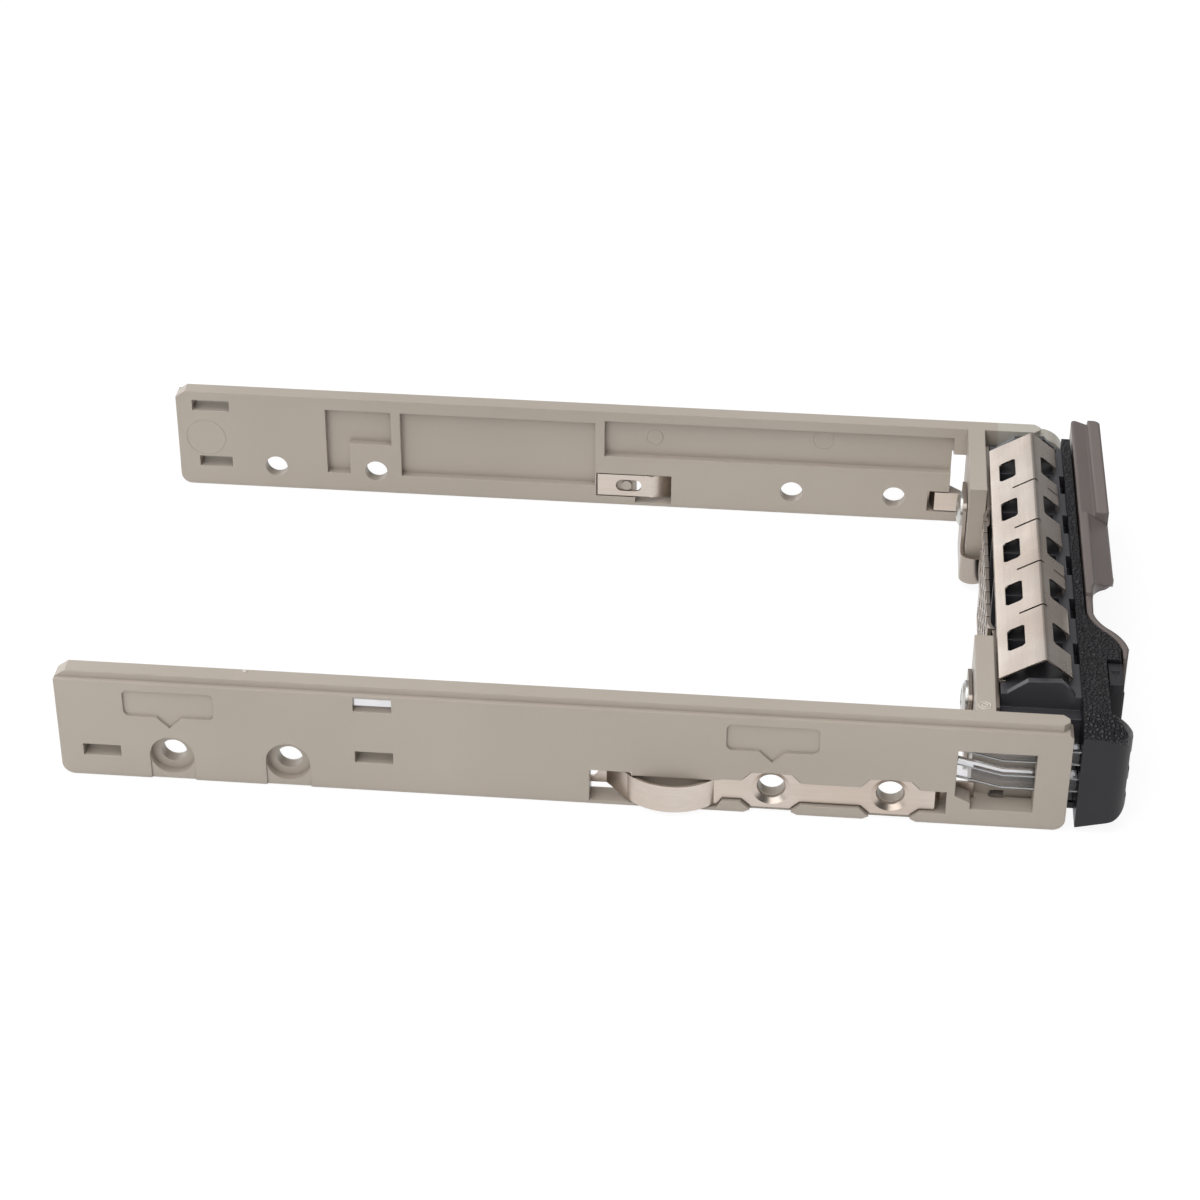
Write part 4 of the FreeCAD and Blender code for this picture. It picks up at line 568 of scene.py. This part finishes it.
# %% Press the marks
stressed_plastic, _, _ = moulded_plastic(
    "stressed_plastic", (0.56, 0.51, 0.45), (0.64, 0.59, 0.53), 0.3, 0.2
)
UPRIGHT = ((0, 0, 1), (0, 1, 0))
FLAT = ((1, 0, 0), (0, 1, 0))
RING_MARKS = {
    "rear_pin_mark": ((35.2, 63.6, 8.0), UPRIGHT, 2.9, 0.05, rail_plastic),
    "long_pocket_mark": ((36.3, -3.05, 11.1), UPRIGHT, 1.2, 0.05, rail_plastic),
    "front_pocket_mark": ((36.3, -27.7, 12.0), UPRIGHT, 1.5, 0.05, rail_plastic),
    "arm_pin_mark": ((-34.1, -49.35, 15.6), FLAT, 0.75, 0.09, stressed_plastic),
    "arm_pin_mark_inner": ((-34.1, -49.35, 15.6), FLAT, 0.34, 0.09, stressed_plastic),
    "gate_pip": ((-35.6, 43.6, 15.62), FLAT, 0.16, 0.15, stressed_plastic),
}
for name, mark in RING_MARKS.items():
    ring_piece(name, *mark)
print("marks of the mould:", sorted(RING_MARKS))

# %% [markdown]
# ## Metal pieces
#
# The leaf springs, the finger spring and the perforated plate are cut from rolled strip. Rolled
# strip keeps fine lines along its length, which stretch a highlight across them. A noise that is
# squeezed along one axis draws such lines, and unlike a picture of them it never repeats.

# %% Sheet metal
def sheet_metal(name, tone, roughness, stretch, line_size=2500.0, edge=0.00008, drift=0.0):
    """Rolled sheet: faint lines in the roughness, relief and colour, soft smudges, a warm drift,
    and painted shade in crevices.
    """
    material, tree, shader = new_material(name, tone, roughness, 1.0)
    group = place_group(
        tree, brushed_group, Line_Size=line_size,
        Stretch_X=stretch[0], Stretch_Y=stretch[1], Stretch_Z=stretch[2],
    )
    spread = math_node(tree, "MULTIPLY", group.outputs["Smudge"], 0.16)
    tree.links.new(
        math_node(tree, "ADD", spread, roughness - 0.08), shader.inputs["Roughness"]
    )
    clouds = place_group(tree, grain_group, Grain_Size=2600.0, Drift_Size=95.0)
    warm = tuple(value * (1 - drift * share) for value, share in zip(tone, (0.7, 1.0, 1.25)))
    rims = place_group(tree, edge_group, Edge_Reach=0.0002, Crevice_Reach=0.0008)
    colour = shade_between(tree, clouds.outputs["Drift"], warm, tone, 0.38, 0.62)
    deep = tuple(value * 0.6 for value in tone)
    # Painted shade darkens the crevices.
    colour = tint(tree, colour, limits(tree, rims.outputs["Crevice"], 0.3, 0.95, 0.6), deep)
    colour = tint(tree, colour, limits(tree, group.outputs["Lines"], 0.62, 0.35, 0.12), deep)
    tree.links.new(colour, shader.inputs["Base Color"])
    bump(tree, shader, group.outputs["Lines"], 0.06, 0.00003, soft_edges(tree, edge))
    return material


print("helper: sheet_metal")

# %% Four metals
spring_steel = sheet_metal(
    "spring_steel", (0.64, 0.565, 0.505), 0.3, (1.0, 0.04, 1.0), drift=0.12
)
finger_sheet = sheet_metal(
    "finger_sheet", (0.58, 0.515, 0.465), 0.27, (0.04, 1.0, 1.0), drift=0.13
)
plated_sheet = sheet_metal(
    "plated_sheet", (0.44, 0.395, 0.355), 0.30, (0.04, 1.0, 1.0), drift=0.15
)
screw_steel = sheet_metal("screw_steel", (0.60, 0.59, 0.57), 0.25, (1.0, 1.0, 1.0), 900.0)
dress(["left_leaf_spring", "right_leaf_spring", "lever_spring", "button_spring"], spring_steel)
dress(["emi_spring"], finger_sheet)
dress(["vent_plate", "latch_hook"], plated_sheet)
dress(
    ["left_arm_screw", "right_arm_screw", "left_cover_screw", "right_cover_screw",
     "lever_pin", "hook_rivet"],
    screw_steel,
)
print("metals:", [spring_steel.name, finger_sheet.name, plated_sheet.name, screw_steel.name])

# %% [markdown]
# ## Finger spring
#
# The roof-shaped strip on the module grounds the carrier to its cage, and its fingers flex as
# the carrier slides in. It is one sheet, blanked with windows, notches and slits and then folded.
# The mesh is made the same way: a flat grid of columns and rows loses the cells of the openings,
# the rows follow the folded outline, and the sheet gets its thickness along the normals. A small
# triangle stays in each corner of a window or notch. Cutting the openings with booleans would
# do too, but the grid leaves clean faces.

# %% The folded outline
SHEET = 0.25
RIDGE_Y = -56.9
OUTLINE = np.array([
    (-52.05, 15.45), (-51.15, 15.45), (-51.15, 15.98), (RIDGE_Y, 19.375), (-60.5, 16.55),
    (-60.2, 15.85),
])
REACH = (0.25, 0.22, 0.28, 0.3)
BEND_ROWS = 7
WINDOW_Y = (RIDGE_Y + 2.4, RIDGE_Y + 4.5)
NOTCH_Y = RIDGE_Y - 1.1
CORNER = 0.32


def bend(before, corner, after, reach):
    """A round bend: (1-t)^2 start + 2t(1-t) corner + t^2 end, with t from 0 to 1."""
    start = corner + reach * (before - corner) / np.linalg.norm(before - corner)
    end = corner + reach * (after - corner) / np.linalg.norm(after - corner)
    t = np.linspace(0, 1, BEND_ROWS)[:, None]
    return (1 - t) ** 2 * start + 2 * t * (1 - t) * corner + t**2 * end


def at_y(first, last, values):
    """Points of the straight from first to last at the given Y values."""
    values = np.array(values)
    share = (values - first[0]) / (last[0] - first[0])
    return np.stack([values, first[1] + share * (last[1] - first[1])], axis=1)


print("corners of the outline:", len(OUTLINE))

# %% Rows along the outline
bends = [bend(*OUTLINE[i:i + 3], reach) for i, reach in enumerate(REACH)]
rear_rows = at_y(OUTLINE[2], OUTLINE[3], [
    WINDOW_Y[1], WINDOW_Y[1] - CORNER, RIDGE_Y + 2.9, WINDOW_Y[0] + CORNER, WINDOW_Y[0],
    RIDGE_Y + 1.4,
])
front_rows = at_y(OUTLINE[3], OUTLINE[4], [
    RIDGE_Y - 0.55, NOTCH_Y, NOTCH_Y - CORNER, RIDGE_Y - 1.9, RIDGE_Y - 2.6,
])
outer_path = np.vstack([
    OUTLINE[:1], bends[0], bends[1], rear_rows, bends[2], front_rows, bends[3], OUTLINE[-1:],
])
along = unit_along(outer_path)
inner_path = outer_path - SHEET * np.stack([along[:, 1], -along[:, 0]], axis=1)
print("rows of the folded outline:", len(outer_path))

# %% Openings and columns
PITCH = 10.55
HALF_LENGTH = 28.5
HALF_WINDOW = 2.4
HALF_SLIT = 0.2
HALF_TOOTH_SLIT = 0.15
PAST_EDGE = -61.0
centres = PITCH * (np.arange(5) - 2)
ridge_slits = centres[:-1] + PITCH / 2
tooth_slits = ridge_slits[1::2]
windows = [(x - HALF_WINDOW, x + HALF_WINDOW, *WINDOW_Y) for x in centres]
notches = [(x - HALF_WINDOW, x + HALF_WINDOW, PAST_EDGE, NOTCH_Y) for x in centres]
slits = [(x - HALF_SLIT, x + HALF_SLIT, RIDGE_Y - 0.55, RIDGE_Y + 2.9) for x in ridge_slits]
slits += [(x - HALF_TOOTH_SLIT, x + HALF_TOOTH_SLIT, PAST_EDGE, RIDGE_Y - 1.9)
          for x in tooth_slits]
columns = np.unique(np.round(np.concatenate([
    [-HALF_LENGTH, HALF_LENGTH],
    *[np.array([low, low + CORNER, high - CORNER, high]) for low, high, _, _ in windows],
    *[np.array([low, high]) for low, high, _, _ in slits],
]), 4))
print("columns:", len(columns), "openings:", len(windows + notches + slits))

# %% Cut the flat grid
FOOT_ROWS = 12
rows, cols = len(outer_path), len(columns)
row, col = np.meshgrid(np.arange(rows - 1), np.arange(cols - 1), indexing="ij")
first = row * cols + col
cells = np.stack([first, first + cols, first + cols + 1, first + 1], axis=-1)
middle_x = (columns[:-1] + columns[1:])[None, :] / 2
middle_y = ((outer_path[:-1, 0] + outer_path[1:, 0]) / 2)[:, None]
open_cell = np.zeros(first.shape, dtype=bool)
for low_x, high_x, low_y, high_y in windows + notches + slits:
    open_cell |= ((middle_x > low_x) & (middle_x < high_x)
                  & (middle_y > low_y) & (middle_y < high_y))
sheet_faces = [tuple(cell) for cell in cells[~open_cell]]
# The corners are looked for on the slopes, so the foot's rows count as endlessly far away.
slope_y = np.where(np.arange(rows) < FOOT_ROWS, np.inf, outer_path[:, 0])
for low_x, high_x, low_y, high_y in windows + notches:
    for x, step in ((low_x, 1), (high_x, -1)):
        for y, onward in ((high_y, 1), (low_y, -1)):
            if y > PAST_EDGE:
                c = int(np.argmin(abs(columns - x)))
                q = int(np.argmin(abs(slope_y - y)))
                corner = [q * cols + c, (q + onward) * cols + c, q * cols + c + step]
                sheet_faces.append(tuple(corner if step * onward > 0 else corner[::-1]))
print("faces of the flat sheet:", len(sheet_faces))

# %% Fold it and give it thickness
count = rows * cols
grid_x = np.tile(columns, rows)
outer = np.column_stack([grid_x, np.repeat(outer_path, cols, axis=0)])
inner = np.column_stack([grid_x, np.repeat(inner_path, cols, axis=0)])
edges = {(a, b) for face in sheet_faces for a, b in zip(face, face[1:] + face[:1])}
walls = [(b, a, a + count, b + count) for a, b in sorted(edges) if (b, a) not in edges]
inside = [tuple(index + count for index in face[::-1]) for face in sheet_faces]
faces = sheet_faces + inside + walls
used = np.unique([index for face in faces for index in face])
place_of = {int(old): new for new, old in enumerate(used)}
faces = [[place_of[int(index)] for index in face] for face in faces]
points = np.vstack([outer, inner])[used]
finger_strip = new_piece("finger_strip", points, faces, finger_sheet, sharp=32)
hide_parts("emi_spring")
print("finger strip:", len(points), "points,", len(faces), "faces")

# %% [markdown]
# ## Black module and cover
#
# The frame behind the cover is a glossy black moulding, and the cover has a leather-like texture
# that hides scratches. Such a texture is etched into the mould, so it ends at a seam where the
# steel was left smooth. Here rounded pebbles with wandering borders raise the surface above the
# seam; painted shade darkens their creases and a painted highlight lightens their crests. A bump
# is enough for them, because a pebble is too small for its outline to be seen.

# %% Black plastics
# The edge setting is a painted highlight and the crevice setting painted shade that darkens the
# wells.
black_plastic, _, _ = moulded_plastic(
    "black_plastic", (0.046, 0.045, 0.051), (0.058, 0.057, 0.064), 0.26, 0.3,
    edge_highlight=0.8, shaded=0.9, reach=0.0035
)
dress(["front_module"], black_plastic)
print("module dressed in", black_plastic.name)

# %% Cover plastic
# The edge setting is a painted highlight on the cover's edges, and crevices get painted shade.
cover_plastic, tree, shader = moulded_plastic(
    "cover_plastic", (0.009, 0.008, 0.011), (0.014, 0.013, 0.016), 0.40, 0.3, edge_highlight=0.5
)
shader.inputs["Specular IOR Level"].default_value = 0.42
facing = tree.nodes.new("ShaderNodeNewGeometry")
axes = tree.nodes.new("ShaderNodeSeparateXYZ")
tree.links.new(facing.outputs["Normal"], axes.inputs[0])
on_top = limits(tree, axes.outputs["Z"], 0.25, 0.45)
leather = place_group(tree, leather_group, Pebble_Size=2000.0, Wander=0.0004)
spot = spot_axes(tree)
SEAM_START = 0.0615
SEAM_HEIGHT = 0.01425
SEAM_SAG = 40.0
COVER_END = (0.0374, 0.0376)
from_panel = math_node(tree, "SUBTRACT", forward_of(tree), SEAM_START)
sag = math_node(tree, "MULTIPLY", math_node(tree, "MULTIPLY", from_panel, from_panel), SEAM_SAG)
seam_height = math_node(tree, "SUBTRACT", SEAM_HEIGHT, sag)
over_seam = math_node(tree, "SUBTRACT", spot["Z"], seam_height)
at_end = limits(tree, math_node(tree, "MULTIPLY", spot["X"], -1.0), *COVER_END)
above_seam = math_node(tree, "MULTIPLY", limits(tree, over_seam, 0.00004, 0.00010), at_end)
covered = math_node(tree, "MAXIMUM", on_top, above_seam)
ledge = math_node(tree, "MULTIPLY", covered, 0.9)
raised = math_node(
    tree, "ADD", math_node(tree, "MULTIPLY", leather.outputs["Height"], covered), ledge
)
# Painted shade darkens the creases of the grain, and a painted highlight lightens its crests.
crease_shade_amount = limits(tree, leather.outputs["Height"], 0.5, 0.0, 0.8)
crease_shade_mask = math_node(tree, "MULTIPLY", covered, crease_shade_amount)
crease_shaded_colour = tint(tree, shader.inputs["Base Color"].links[0].from_socket, crease_shade_mask,
               (0.003, 0.003, 0.004))
crest_highlight_amount = limits(tree, leather.outputs["Height"], 0.75, 1.0, 0.5)
crest_highlight_mask = math_node(tree, "MULTIPLY", covered, crest_highlight_amount)
tree.links.new(tint(tree, crease_shaded_colour, crest_highlight_mask, (0.030, 0.029, 0.033)), shader.inputs["Base Color"])
bump(tree, shader, raised, 1.0, 0.00022, shader.inputs["Normal"].links[0].from_socket)
dress(["bezel"], cover_plastic)
print("leather grain on the cover's top")

# %% [markdown]
# ## Handle and button
#
# The handle is moulded in a brown-grey plastic with a satin surface, so its broad faces show soft
# streaks of light. The button that frees it is black. Both get the same drift and grain as the
# rails, the same painted highlight on edges and painted shade in crevices, with a wider rounding
# because fingers meet these edges.

# %% Handle plastic
handle_plastic, _, _ = moulded_plastic(
    "handle_plastic", (0.150, 0.123, 0.114), (0.176, 0.146, 0.136), 0.30, 0.2, edge=0.0006
)
# The button's edge setting is a painted highlight.
button_plastic, _, _ = moulded_plastic(
    "button_plastic", (0.018, 0.017, 0.020), (0.024, 0.023, 0.026), 0.36, 0.2, edge_highlight=0.5
)
dress(["lever"], handle_plastic)
dress(["release_button"], button_plastic)
print("handle and button dressed")

# %% [markdown]
# ## Button spring
#
# A coil of wire pushes the button towards the handle and shortens as the button slides. Its wire
# is a small circle carried along a helix, wound in the box of the CAD's own coil. This one is a
# fixed shape that stands for the CAD's coil, which is hidden.

# %% Wind the coil
WIRE = 0.075
TURNS = 5
STEPS_PER_TURN = 24
coil_low, coil_high = (np.array(corner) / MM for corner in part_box("button_spring"))
coil_length = coil_high[0] - coil_low[0]
radius = (coil_high[1] - coil_low[1]) / 2 - WIRE
s = np.linspace(0, 1, TURNS * STEPS_PER_TURN + 1)
turn_angle = 2 * np.pi * TURNS * s
radial = np.stack([0 * s, np.cos(turn_angle), np.sin(turn_angle)], axis=1)
helix = (coil_low + coil_high) / 2 + radius * radial
helix[:, 0] = coil_low[0] + WIRE + s * (coil_length - 2 * WIRE)
button_coil = wire_piece("button_coil", helix, radial, WIRE, spring_steel)
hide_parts("button_spring")
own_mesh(button_coil)

# %% [markdown]
# ## Light pipes
#
# Two clear bars carry the light of lamps in the server to the front of the cover. Clear plastic
# bends light; here its edges get a painted highlight, its flat sides are grey, and the ends that
# run into the module get painted shade. A faint waviness and a haze that drifts along the bar
# stand for flow marks.

# %% Clear plastic
clear_plastic, tree, shader = new_material("clear_plastic", (0.78, 0.78, 0.80), 0.08)
shader.inputs["Transmission Weight"].default_value = 1.0
shader.inputs["IOR"].default_value = 1.49
waves = place_group(tree, grain_group, Grain_Size=700.0, Drift_Size=120.0)
bump(tree, shader, waves.outputs["Height"], 0.15, 0.00006, soft_edges(tree, 0.00015))
haze = shade_between(
    tree, waves.outputs["Drift"], (0.70, 0.70, 0.72), (0.84, 0.84, 0.86), 0.3, 0.7
)
INTO_MODULE = (0.0520, 0.0590)
# Painted shade: the pipes darken where they run into the module.
module_shade_mask = limits(tree, forward_of(tree), *INTO_MODULE, 0.85)
rims = place_group(tree, edge_group, Edge_Reach=0.00035, Crevice_Reach=0.0008)
shaded_end_colour = tint(tree, haze, module_shade_mask, (0.30, 0.30, 0.32))
# Painted highlight: the pipe edges are tinted near white.
painted_edge_highlight_colour = tint(tree, shaded_end_colour, limits(tree, rims.outputs["Edge"], 0.25, 0.6, 0.9), (0.95, 0.95, 0.97))
tree.links.new(painted_edge_highlight_colour, shader.inputs["Base Color"])
dress(["upper_light_pipe", "lower_light_pipe"], clear_plastic)
print("light pipes dressed")

# %% [markdown]
# ## Ribs of the light pipes
#
# Each pipe has two thin ribs along its outer side, near its upper and lower edge. They stiffen
# the bar and catch the light as bright lines. A rib is a small circle carried along the bar's
# bent course, half sunk in its face, so the coil's tool makes it too.

# %% Run the ribs
rib_plastic, _, shader = moulded_plastic(
    "rib_plastic", (0.62, 0.62, 0.64), (0.74, 0.74, 0.76), 0.2, 0.2
)
shader.inputs["Transmission Weight"].default_value = 0.35
PIPE_FACE = -36.70
RIB = 0.10
BEND_FRONT = -52.05
BEND_RUN = 8.0
BEND_RISE = 1.9
run = np.linspace(-65.0, -43.0, 89)
climb = BEND_RISE * np.clip((run - BEND_FRONT) / BEND_RUN, 0, 1)
outward = np.tile([-1.0, 0.0, 0.0], (len(run), 1))
for pipe, bottom in (("upper", 8.8), ("lower", 4.7)):
    for level, lift in (("high", 2.25), ("low", 0.38)):
        course = np.stack([0 * run + PIPE_FACE, run, bottom + lift + climb], axis=1)
        wire_piece(f"{pipe}_pipe_{level}_rib", course, outward, RIB, rib_plastic)
print("four ribs on the light pipes")
